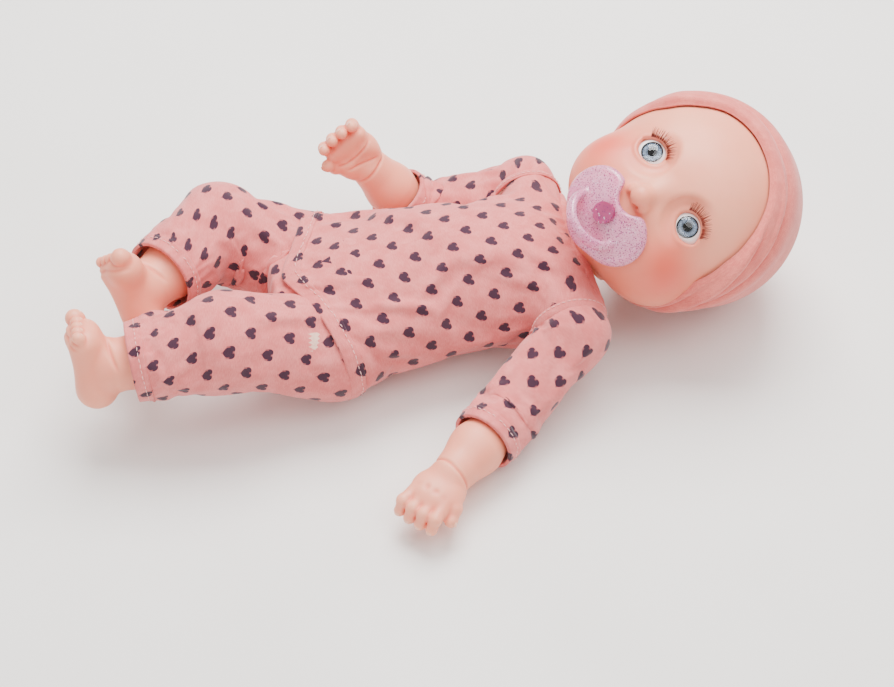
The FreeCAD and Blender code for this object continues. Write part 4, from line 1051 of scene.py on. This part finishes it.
def station(x, column):
    """A smooth curve through the stations."""
    knots, values = TOP_STATIONS[:, 0], TOP_STATIONS[:, column]
    slopes = np.gradient(values, knots)
    k = np.clip(np.searchsorted(knots, x) - 1, 0, len(knots) - 2)
    width = knots[k + 1] - knots[k]
    t = np.clip((x - knots[k]) / width, 0, 1)
    h00, h10 = 2 * t ** 3 - 3 * t ** 2 + 1, t ** 3 - 2 * t ** 2 + t
    return h00 * values[k] + h10 * width * slopes[k] + (1 - h00) * values[k + 1] + (t ** 3
            - t ** 2) * width * slopes[k + 1]


def trunk_field(p):
    wide, deep, middle = (station(p[:, 0], c) for c in (1, 2, 3))
    q = np.hypot(p[:, 1] / wide, (p[:, 2] - middle) / deep)
    return (q - 1) * np.minimum(wide, deep)


def top_field(p):
    d = trunk_field(p)
    for side, way in (("right", 1), ("left", -1)):
        shoulder = rod(p, SHOULDERS[side] * vec(1, 0, 1) + vec(0, way * 20, 0), SHOULDERS[side], 14.2, 14.8)
        shoulder = np.maximum(shoulder, way * p[:, 1] - 40.0)
        d = join(d, shoulder, 7)
        d = join(d, ball(p, HIPS[side], 23.4), 6)
    return carve(d, p[:, 2] - BOTTOM_CLEAR, 2.5)


TOP_FOLDS = [((-66, -6, 50), (-30, -16, 58), 3.2, 1.5), ((-64, -18, 48), (-38, -34, 44), 3.0, 1.8),
             ((-60, 6, 52), (-24, -2, 60), 2.6, 0.9), ((-52, -30, 44), (-28, -38, 32), 2.8, 1.6),
             ((-40, -36, 38), (-14, -37, 30), 2.6, 1.2), ((-36, -24, 54), (-8, -30, 48), 3.0, 0.9),
             ((44, -30, 46), (18, -24, 54), 2.6, 0.8), ((50, -22, 46), (30, -10, 56), 2.4, 0.7),
             ((34, -36, 38), (14, -36, 40), 2.6, 1.1), ((44, 28, 46), (20, 22, 54), 2.6, 0.8),
             ((-46, 34, 42), (-20, 32, 48), 2.8, 1.3), ((-60, 22, 46), (-34, 24, 54), 2.6, 1.1),
             ((30, 36, 36), (4, 36, 34), 2.6, 0.9), ((6, -12, 59), (-16, -26, 54), 3.2, 0.6),
             ((58, 10, 42), (36, 4, 56), 2.4, 0.6), ((-64, 30, 20), (-34, 36, 14), 3.0, 1.2),
             ((-64, -30, 20), (-34, -36, 14), 3.0, 1.2), ((30, 20, 3), (-20, 26, 2), 3.0, -0.3)]


def build_top():
    straight, tilted, columns = 66, 20, 132
    rows = straight + tilted
    angles = np.arange(columns) * 2 * math.pi / columns
    front, side = np.cos(angles), np.abs(np.sin(angles))
    hem = -(66.0 + 3.0 * front) + 17.0 * side ** 1.6
    root = 44.0
    share = 1 - (1 - np.linspace(0, 1, straight)) ** 1.15
    x = hem[None, :] + share[:, None] * (root - hem)[None, :]
    x = np.vstack([x, np.full((tilted, columns), root)])
    last_tilt = np.radians(33 + 19 * np.abs(front) ** 1.5)
    tilt = np.vstack([np.zeros((straight, columns)),
                      np.linspace(1 / tilted, 1, tilted)[:, None] * last_tilt[None, :]])
    origins = np.stack([x, np.zeros_like(x), station(x.ravel(), 3).reshape(x.shape)], 2)
    ways = np.stack([np.sin(tilt), -np.sin(angles)[None, :] * np.cos(tilt),
                     np.cos(angles)[None, :] * np.cos(tilt)], 2)
    grid = reach_skin(top_field, origins.reshape(-1, 3), ways.reshape(-1, 3)).reshape(x.shape + (3,))
    run = np.vstack([np.zeros(columns), np.cumsum(np.linalg.norm(np.diff(grid, axis=0), axis=2), axis=0)])
    cloth_v = (run - run[straight // 2] + x[straight // 2].mean()) / HEART_CELL
    normals = grid_normals(grid)
    flat = grid.reshape(-1, 3)
    lift = 1.3 * fold_height(flat, TOP_FOLDS) + 0.35 * ripple(flat, 24, 3)
    ends = np.minimum(np.arange(rows), rows - 1 - np.arange(rows)) / rows
    lift = lift * np.repeat(fade(ends, 0.0, 0.05), columns) * fade(flat[:, 2], 0.5, 8)
    grid = grid + normals * lift.reshape(x.shape)[:, :, None]
    cloth_u = round_share(grid[straight // 2], 13)
    top = cloth_object("top_body_jersey", grid, cloth_u, cloth_v, PRINT)
    hold = np.repeat(np.clip(1 - ends / 0.06, 0, 1), columns).reshape(rows, columns)
    hold = np.maximum(hold, 0.6 * fade(-grid[:, :, 2], -3, 0))
    drape(top, hold, 0.05, 24, 0.6, 2.4, lambda p: trunk_field(p) + 1.6)
    grid = points_of(top).reshape(rows, columns, 3)
    grid[:, :, 2] = np.maximum(grid[:, :, 2], BOTTOM_CLEAR - 0.2)
    set_points(top, grid.reshape(-1, 3))
    thicken(top, 1.0)
    mount(top, "torso", "top_body")
    normals = grid_normals(grid)
    hem_rows = 5
    band = grid[:hem_rows] + normals[:hem_rows] * 0.55
    hem_fold = cloth_object("top_hem", band, cloth_u, cloth_v[:hem_rows], PRINT)
    thicken(hem_fold, 0.7)
    mount(hem_fold, "torso")
    row = hem_rows - 2
    sew("top_hem_stitches", grid[row] + normals[row] * 0.62, normals[row], "torso", 2.6, 1.9, 0.16)
    path = grid[-3] + normals[-3] * 0.5
    outward = normals[-1]
    along = grid[-1] - grid[-3]
    along /= np.linalg.norm(along, axis=1)[:, None]
    collar = strip_over("neck_binding", path, outward, along, 2.9, 1.2, PLAIN)
    mount(collar, "torso")
    for side in ("right", "left"):
        build_armhole(side)


def build_armhole(side):
    """The bound edge that laps over the sleeve at the shoulder."""
    way = 1 if side == "right" else -1
    centre = vec(SHOULDERS[side][0] - 1.0, way * 39.2, SHOULDERS[side][2] - 0.4)
    turns = np.linspace(0, 2 * math.pi, 73)[:-1]
    path, outward, wide = [], [], []
    for t in turns:
        ray = vec(math.cos(t), 0, math.sin(t))
        radius = 15.3 + 0.3 * math.sin(2 * t + 0.6)
        at = centre + ray * radius
        at[1] += way * 1.2 * math.sin(t)
        at[2] = max(at[2], 2.2)
        path.append(at)
        outward.append(unit(ray + vec(0, way * 0.35, 0)))
        wide.append(unit(vec(0, way, 0) - outward[-1] * (way * outward[-1][1])))
    path, outward, wide = np.array(path), np.array(outward), np.array(wide)
    band = strip_over(f"shoulder_binding_{side}", path, outward, wide, 2.5, 1.0, PLAIN)
    mount(band, "torso")
    sew(f"shoulder_stitches_{side}", path + outward * 0.92 - wide * 1.3, outward, "torso", 2.4, 1.7, 0.15)


# ---------------------------------------------------------------- sleeves and pant legs
# the furthest a tube of cloth may stand from its own middle line, so no row runs down the inside of a limb
SLEEVE_REACH = 22.0
LEG_REACH = 26.0


def limb_cloth(name, field, path_points, bends, first_side, columns, cells, folds, seed, limit, spacing=2.0):
    """One tube of printed jersey; finish_limb adds the turned hem at its free end."""
    centres, ways, run = route(path_points, bends, spacing)
    grid = skin_grid(field, centres, ways, first_side, columns, limit)
    normals = grid_normals(grid)
    flat = grid.reshape(-1, 3)
    count = len(centres)
    lift = fold_height(flat, folds) + 0.3 * ripple(flat, 22, seed)
    share = np.linspace(0, 1, count)
    crowding = np.linalg.norm(np.gradient(grid, axis=0), axis=2) / spacing
    lift = lift.reshape(count, columns) * fade(np.minimum(share * 1.6, 1 - share), 0.0, 0.08)[:, None]
    lift = lift * fade(crowding, 0.25, 0.9)
    plain = grid
    grid = grid + normals * lift[:, :, None]
    grid[:, :, 2] = np.maximum(grid[:, :, 2], BOTTOM_CLEAR)
    cloth_u = round_share(grid[count // 2], cells)
    lengths = np.vstack([np.zeros(columns),
                         np.cumsum(np.linalg.norm(np.diff(plain, axis=0), axis=2), axis=0)])
    cloth_v = -(0.85 * (lengths - lengths[count // 2]) + 0.15 * (run - run[count // 2])[:, None]) / HEART_CELL
    obj = cloth_object(name, grid, cloth_u, cloth_v, PRINT)
    return obj, grid, cloth_u, cloth_v


def finish_limb(obj, grid, cloth_u, cloth_v, body, node, hem_rows, field):
    count, columns = grid.shape[:2]
    share = np.linspace(0, 1, count)
    hold = np.repeat(np.clip(1 - np.minimum(share, 1 - share) / 0.09, 0, 1), columns).reshape(count, columns)
    drape(obj, hold, 0.06, 22, 0.5, 2.0, lambda p: field(p) + 1.3)
    grid = points_of(obj).reshape(count, columns, 3)
    grid[:, :, 2] = np.maximum(grid[:, :, 2], BOTTOM_CLEAR)
    set_points(obj, grid.reshape(-1, 3))
    thicken(obj, 1.0)
    mount(obj, body, node)
    normals = grid_normals(grid)
    band = grid[-hem_rows:] + normals[-hem_rows:] * 0.5
    hem = cloth_object(f"{node}_hem", band, cloth_u, cloth_v[-hem_rows:], PRINT)
    thicken(hem, 0.7)
    mount(hem, body)
    row = count - hem_rows + 1
    sew(f"{node}_stitches", grid[row] + normals[row] * 0.6, normals[row], body, 2.6, 1.9, 0.16)


def build_sleeve(side):
    way = 1 if side == "right" else -1
    start, aim = joint_at(f"forearm_turn_{side}"), joint_axis(f"forearm_turn_{side}")
    elbow = start - aim * 2.0
    shoulder = SHOULDERS[side]
    root = vec(shoulder[0], way * 38.2, shoulder[2])
    corner = vec(shoulder[0], way * 48.6, shoulder[2] - 1)
    cuff = start + aim * 15.0

    def field(p):
        d = join(ball(p, shoulder, 14.5), rod(p, shoulder, elbow, 14.2, 13.9), 3)
        d = join(d, rod(p, elbow, start + aim * 8, 13.9, 13.5), 3)
        d = join(d, rod(p, start + aim * 8, start + aim * 30, 13.5, 14.2), 3)
        return carve(d, p[:, 2] - BOTTOM_CLEAR, 2.0)

    inner = unit(unit(shoulder - elbow) + aim)
    crook = elbow + inner * 13.5
    across = unit(np.cross(inner, aim))
    folds = [(crook - across * 9, crook + across * 9, 1.8, 1.2),
             (crook + (shoulder - elbow) * 0.12 - across * 10, crook + (shoulder - elbow) * 0.1 + across * 10,
              1.8, 0.9),
             (crook + aim * 6 - across * 10, crook + aim * 5 + across * 10, 1.8, 0.8),
             (shoulder + vec(-10, way * 6, 12), elbow + vec(8, way * 8, 8), 2.6, 0.7)]
    made = limb_cloth(f"sleeve_{side}_jersey", field, [root, corner, elbow, cuff],
                      [13.0, 12.0], vec(0, 0, 1), 60, 5,
                      folds, 5 + way, SLEEVE_REACH)
    finish_limb(*made, f"{side}_upper_arm", f"sleeve_{side}", 4, field)


def build_pant_leg(side):
    way = 1 if side == "right" else -1
    start, aim = joint_at(f"leg_turn_{side}"), joint_axis(f"leg_turn_{side}")
    knee = start - aim * 17.0
    hip = HIPS[side]
    root = vec(hip[0], way * 15.9, hip[2])
    corner = vec(hip[0], way * 28.6, hip[2])
    cuff = start + aim * 22.6

    def field(p):
        d = join(ball(p, hip, 22.2), rod(p, hip, knee, 21.6, 20.3), 3)
        d = join(d, rod(p, knee, start + aim * 8, 20.3, 17.4), 4)
        d = join(d, rod(p, start + aim * 8, start + aim * 40, 17.4, 15.6), 4)
        return carve(d, p[:, 2] - BOTTOM_CLEAR, 2.0)

    inner = unit(unit(hip - knee) + aim)
    crook = knee + inner * 18.5
    across = unit(np.cross(inner, aim))
    folds = [(crook - across * 15, crook + across * 15, 3.0, 1.5),
             (crook + (hip - knee) * 0.16 - across * 14, crook + (hip - knee) * 0.12 + across * 14, 2.2, 1.3),
             (crook + aim * 8 - across * 12, crook + aim * 6 + across * 12, 2.0, 1.0),
             (hip + vec(-12, -way * 6, 20), knee + vec(10, -way * 10, 14), 3.0, 1.2),
             (hip + vec(-6, way * 4, 22), knee + vec(14, way * 4, 18), 2.8, 0.9)]
    made = limb_cloth(f"pant_leg_{side}_jersey", field, [root, corner, knee, cuff],
                      [18.0, 20.0], vec(0, 0, 1), 88, 8,
                      folds, 9 + way, LEG_REACH)
    finish_limb(*made, f"{side}_thigh", f"pant_leg_{side}", 4, field)


def build_pants_hips():
    """The seat between the legs, mostly under the top."""
    low, high = (np.array(c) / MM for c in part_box("pants_hips"))

    def field(p):
        d = trunk_field(p) + 1.7
        for side in ("right", "left"):
            d = join(d, ball(p, HIPS[side], 20.4), 5)
        d = np.maximum(d, np.abs(p[:, 1]) - 16.5)
        return carve(d, p[:, 2] - BOTTOM_CLEAR, 2.0)

    columns = 72
    x = np.linspace(low[0] + 0.3, high[0], 26)
    centres = np.stack([x, np.zeros_like(x), station(x, 3)], 1)
    grid = skin_grid(field, centres, np.tile(vec(1, 0, 0), (len(x), 1)), vec(0, 0, 1), columns)
    flat = grid.reshape(-1, 3)
    normals = grid_normals(grid)
    gathers = 0.5 * np.sin(np.arctan2(flat[:, 1], flat[:, 2] - 28) * 16) * fade(-flat[:, 0], 50, 66)
    grid = grid + normals * (gathers + 0.2 * ripple(flat, 14, 21)).reshape(len(x), columns)[:, :, None]
    closing = grid[0].mean(0)
    cap = np.stack([closing + (grid[0] - closing) * s for s in (0.05, 0.35, 0.65, 0.9)])
    cap[:, :, 0] -= np.array([3.2, 2.9, 2.0, 0.8])[:, None]
    grid = np.vstack([cap, grid])
    grid[:, :, 2] = np.maximum(grid[:, :, 2], BOTTOM_CLEAR)
    cloth_v = np.linspace(0, len(grid) * 1.7, len(grid)) / HEART_CELL
    obj = cloth_object("pants_seat_jersey", grid, np.linspace(0, 8, columns + 1), cloth_v, PRINT)
    thicken(obj, 1.0)
    mount(obj, "torso", "pants_hips")


# ---------------------------------------------------------------- the cap
def cap_edge(angle):
    """How far forward the cap reaches at each angle round the face, from the crown towards the doll's left."""
    knots = np.radians([-180, -150, -127, -110, -95, -80, -58, -41, -21, 0, 25, 50, 70, 90, 110, 127, 150,
                        180])
    values = np.array([-18, -16, -8, 6, 18, 25.0, 26.4, 25.6, 26.8, 28.0, 28.6, 28.4, 27.4, 25.4, 20.0, 9.5,
                       -8.0, -18])
    return np.interp(angle, knots, values)


def cap_surface(angle, forward, lift):
    """Point of the cap at an angle round the face axis, where its distance forward is given."""
    centre, radii = SKULL
    share = np.clip((forward - centre[0]) / radii[0], -0.999, 0.999)
    ring = np.sqrt(1 - share ** 2)
    base = np.stack([forward, centre[1] + np.sin(angle) * ring * radii[1], centre[2]
                     + np.cos(angle) * ring * radii[2]], -1)
    normal = (base - centre) / radii ** 2
    normal /= np.linalg.norm(normal, axis=-1, keepdims=True)
    return base + normal * np.asarray(lift)[..., None]


def build_cap():
    columns = 150
    angles = np.arange(columns) * 2 * math.pi / columns
    signed = (angles + math.pi) % (2 * math.pi) - math.pi
    edge = cap_edge(signed)
    seam = edge - np.interp(np.abs(signed), np.radians([0, 30, 50, 73, 90, 110, 127, 150, 180]),
                            [5.0, 7.0, 8.0, 11.0, 14.0, 15.0, 14.0, 12.0, 10.0])
    rows = 34
    share = np.linspace(0, 1, rows)
    tuck = 0.3
    forward = seam[None, :] - tuck + share[:, None] * (edge - seam + tuck)[None, :]
    turn = np.abs(signed)[None, :]
    near = 0.45 + 0.55 * fade(signed, -0.2, 1.2)[None, :]
    folds = np.zeros((rows, columns))
    for first, last, at_first, at_last, high in ((0.9, 2.35, 1.02, 0.42, 1.3), (1.3, 2.7, 0.72, 0.16, 1.2),
                                                 (1.9, 3.1, 1.0, 0.5, 1.3), (0.2, 1.5, 0.55, 0.2, 0.6)):
        along = np.clip((turn - first) / (last - first), 0, 1)
        line = at_first + (at_last - at_first) * along
        ridge = np.exp(-np.square((share[:, None] - line) / 0.10)) - 0.6 * np.exp(-np.square((share[:, None]
                - line + 0.17) / 0.09))
        folds += high * ridge * np.sin(np.clip(along, 0, 1) * math.pi) ** 0.6
    folds = 1.9 * folds * near * fade(1 - share, 0.0, 0.1)[:, None]
    thin = 1 - 0.62 * fade(-signed, 1.2, 1.7)[None, :]
    crowned = 2.5 + 1.0 * np.sin(share * math.pi)[:, None]
    lift = (crowned + folds) * thin * (1 - 0.8 * fade(share, 0.88, 1.0)[:, None]) * (1
            - 0.9 * fade(-share, -0.13, 0.0)[:, None]) + 0.2
    grid = from_head(cap_surface(np.tile(signed, (rows, 1)), forward, lift).reshape(-1, 3)).reshape(rows,
            columns, 3)
    cloth_u = np.linspace(0, 17, columns + 1)
    band = cloth_object("cap_band_jersey", grid, cloth_u, share * 16 / HEART_CELL, CAP_CLOTH)
    thicken(band, 1.0)
    mount(band, "head", "cap_band")
    share = np.r_[np.linspace(0, 0.97, 50), 0.979, 0.986, 0.992, 0.996, 1.0]
    rows = len(share)
    back = SKULL[0][0] - SKULL[1][0] + 0.15
    forward = back + (seam[None, :] + 0.2 - back) * (1 - np.cos(share * math.pi / 2))[:, None] ** 0.9
    gather = 0.9 * np.sin(12 * signed)[None, :] * np.exp(-np.square(share / 0.25))[:, None] * fade(share,
            0.02, 0.1)[:, None]
    sweep = 0.8 * np.sin(share[:, None] * 7.0 + signed[None, :] * 2.0 + 1.2) * near
    lift = 2.2 * thin + gather + sweep * (fade(share, 0.2, 0.5) * fade(1 - share, 0.03, 0.12))[:, None]
    lift = lift + 1.2 * np.exp(-np.square((share - 0.94) / 0.05))[:, None] - 2.0 * thin * fade(share, 0.96,
            1.0)[:, None]
    grid = from_head(cap_surface(np.tile(signed, (rows, 1)), forward, lift).reshape(-1, 3)).reshape(rows,
            columns, 3)
    crown = cloth_object("cap_crown_jersey", grid, cloth_u, share * 70 / HEART_CELL, CAP_CLOTH)
    thicken(crown, 1.0)
    mount(crown, "head", "cap_crown")


# ---------------------------------------------------------------- the pacifier
MOUTH_WAY = joint_axis("pacifier_pull")
PACI_SIDE = LEFT_WAY
PACI_UP = np.cross(MOUTH_WAY, PACI_SIDE)
PACI_AXES = np.array([PACI_SIDE, PACI_UP, MOUTH_WAY])
PACI_AT = from_head((46.5, 0, -30.5))
SHIELD_CURVE = 46.0


def pacifier_field(p):
    q = (p - PACI_AT) @ PACI_AXES.T
    hub = np.hypot(q[:, 0], q[:, 1])
    q = q + vec(0, 2.6, 0)
    x, y = q[:, 0], q[:, 1]
    lobes = np.minimum(np.hypot(x - 8.5, y - 1.2), np.hypot(x + 8.5, y - 1.2)) - 14.0
    outline = join(lobes, np.hypot(x, y) - 16.5, 2.0)
    outline = carve(outline, np.hypot(x, y - 18.0) - 8.5, 2.5)
    height = np.linalg.norm(q + vec(0, 0, SHIELD_CURVE), axis=1) - SHIELD_CURVE
    rim = 0.55 * np.exp(-np.square((outline + 1.6) / 1.5))
    sheet = np.abs(height + 1.1) - (1.1 + rim)
    corner = 0.9
    inside = np.minimum(np.maximum(outline + corner, sheet + corner), 0)
    outside = np.hypot(np.maximum(outline + corner, 0), np.maximum(sheet + corner, 0))
    plate = inside + outside - corner
    tilt = math.radians(-62)
    r = q - vec(0, -3.0, -2.6)
    ry = r[:, 1] * math.cos(tilt) + r[:, 2] * math.sin(tilt)
    rz = -r[:, 1] * math.sin(tilt) + r[:, 2] * math.cos(tilt)
    ring = np.hypot(np.hypot(r[:, 0], ry) - 12.5, rz * 0.72) - 1.9
    ring = np.maximum(ring, -q[:, 2] - 2.6)
    plate = join(plate, ring, 1.4)
    return carve(plate, hub - 4.1, 0.5)


def build_pacifier():
    low, high = (np.array(corner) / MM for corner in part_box("pacifier_shield"))
    obj = moulded("pacifier_shield_gel", low - 3, high + 3, pacifier_field, 0.36, GEL)
    mount(obj, "pacifier", "pacifier_shield")


# ---------------------------------------------------------------- finishes of the CAD pieces that stay
def set_finish(node, material):
    obj = frame["nodes"][node]
    obj.data.materials.clear()
    obj.data.materials.append(material)


def finish_nodes():
    steel = grained("bright steel", srgb(200, 202, 206), srgb(170, 172, 178), 0.28, 500, Metallic=1.0)
    brass = grained("sprung brass", srgb(212, 180, 110), srgb(186, 150, 84), 0.3, 500, Metallic=1.0)
    case = grained("box plastic", srgb(232, 230, 224), srgb(222, 218, 210), 0.5, 300)
    board = grained("circuit board", srgb(28, 96, 60), srgb(20, 80, 50), 0.4, 700)
    black = grained("black moulding", srgb(26, 26, 28), srgb(38, 38, 42), 0.42, 400)
    nylon = grained("nylon tie", srgb(238, 236, 230), srgb(226, 224, 218), 0.42, 400)
    cloth = grained("body cloth", srgb(238, 196, 176), srgb(228, 180, 160), 0.9, 900, 0.5, Sheen_Weight=0.2)
    fill = grained("fibre stuffing", srgb(246, 244, 240), srgb(226, 224, 220), 0.95, 350, 0.8)
    white = grained("eye white", srgb(250, 250, 248), srgb(240, 238, 238), 0.12, 120, 0.02, Coat_Weight=0.6,
                    Coat_Roughness=0.04)
    clear = grained("clear cornea", (1.0, 1.0, 1.0), (0.97, 0.98, 0.99), 0.02, 60, 0.0,
                    Transmission_Weight=1.0,
                    IOR=1.03, Coat_Weight=0.8, Coat_Roughness=0.02)
    pink = grained("button plastic", srgb(222, 150, 150), srgb(210, 136, 138), 0.4, 300)
    paper = grained("speaker cone", srgb(60, 58, 56), srgb(84, 80, 76), 0.85, 300, 0.4)
    magnet = grained("magnet", srgb(120, 122, 128), srgb(98, 100, 106), 0.35, 300, Metallic=0.9)
    wire = grained("wire sleeve", srgb(170, 40, 38), srgb(150, 32, 32), 0.5, 500)
    cell = grained("cell can", srgb(196, 198, 200), srgb(176, 178, 184), 0.3, 500, Metallic=0.9)
    finishes = {"neck_disc": case, "neck_tie": nylon, "arm_tie_right": nylon, "arm_tie_left": nylon,
                "leg_tie_right": nylon, "leg_tie_left": nylon, "torso_skin": cloth, "back_flap": cloth,
                "upper_arm_right": cloth, "upper_arm_left": cloth, "thigh_right": cloth, "thigh_left": cloth,
                "torso_stuffing": fill, "eye_cup_right": case, "eye_cup_left": case, "eyeball_right": white,
                "eyeball_left": white, "cornea_right": clear, "cornea_left": clear, "pacifier_teat": HUB_GEL,
                "pacifier_magnet": magnet, "mouth_reed_switch": black, "sound_box_front": case,
                "sound_box_back": case, "battery_door": case,
                "battery_door_screw": steel, "box_screws": steel,
                "circuit_board": board, "sound_chip": black, "capacitor": cell, "tact_switch": black,
                "battery_cells": cell, "battery_contacts": brass, "speaker_frame": black,
                "speaker_magnet": magnet,
                "speaker_cone": paper, "tummy_button": pink, "button_spring": steel, "switch_body": black,
                "power_switch": black, "sensor_lead": wire}
    for node, material in finishes.items():
        set_finish(node, material)
    for tag, (centre, gaze, _) in EYES.items():
        world_gaze = unit(gaze @ HEAD_AXES)
        set_finish(f"iris_{tag}", iris_paint(f"iris {tag}", from_head(centre), world_gaze, CROWN_WAY))


# ---------------------------------------------------------------- stage, light and camera
def build_stage():
    lowest = CAD_BOX[0].z
    half = 3.0
    centre = (CAD_BOX[0] + CAD_BOX[1]) / 2
    mesh = bpy.data.meshes.new("floor")
    mesh.from_pydata([(centre.x + sx * half, centre.y + sy * half, lowest - 0.0002)
                      for sx, sy in ((-1, -1), (1, -1), (1, 1), (-1, 1))], [], [(0, 1, 2, 3)])
    floor = link("floor", mesh, grained("pale floor", srgb(242, 238, 234), srgb(238, 234, 229), 0.7, 6, 0.05))
    world = bpy.data.worlds.new("studio")
    world.use_nodes = True
    world.node_tree.nodes["Background"].inputs[0].default_value = (1.0, 0.985, 0.97, 1)
    world.node_tree.nodes["Background"].inputs[1].default_value = 0.6
    bpy.context.scene.world = world
    for name, place, size, power in (("key", (0.15, 0.42, 0.95), 0.7, 26.0),
                                     ("fill", (-0.7, -0.6, 0.6), 0.9, 4.0),
                                     ("front", (0.35, -0.35, 1.1), 0.8, 9.0)):
        light = bpy.data.lights.new(name, "AREA")
        light.energy = power
        light.size = size
        obj = bpy.data.objects.new(name, light)
        obj.location = place
        obj.rotation_mode = "QUATERNION"
        obj.rotation_quaternion = (Vector((0.02, 0, 0.03)) - Vector(place)).to_track_quat("-Z", "Y")
        bpy.context.scene.collection.objects.link(obj)


def build_camera():
    """The studio camera: above the doll's left side, looking down across it."""
    sensor = 36.0
    camera = bpy.data.objects.new("camera", bpy.data.cameras.new("camera"))
    camera.data.sensor_width = sensor
    camera.data.lens = 75.3
    camera.data.clip_start = 0.05
    camera.data.clip_end = 20.0
    right = unit((0.9755, -0.2198, 0.0))
    forward = unit((0.1413, 0.6271, -0.7660))
    up = np.cross(right, forward)
    place = Matrix.Identity(4)
    for row in range(3):
        place[row][0], place[row][1], place[row][2] = right[row], up[row], -forward[row]
    place.translation = Vector((-0.11814, -0.53972, 0.64594))
    camera.matrix_world = place
    bpy.context.scene.collection.objects.link(camera)
    bpy.context.scene.camera = camera


def main():
    build_top()
    for side in ("right", "left"):
        build_sleeve(side)
        build_pant_leg(side)
    build_pants_hips()
    build_cap()
    build_head()
    build_lashes()
    for side in ("right", "left"):
        build_arm(side)
        build_leg(side)
    build_pacifier()
    finish_nodes()
    build_stage()
    build_camera()


main()
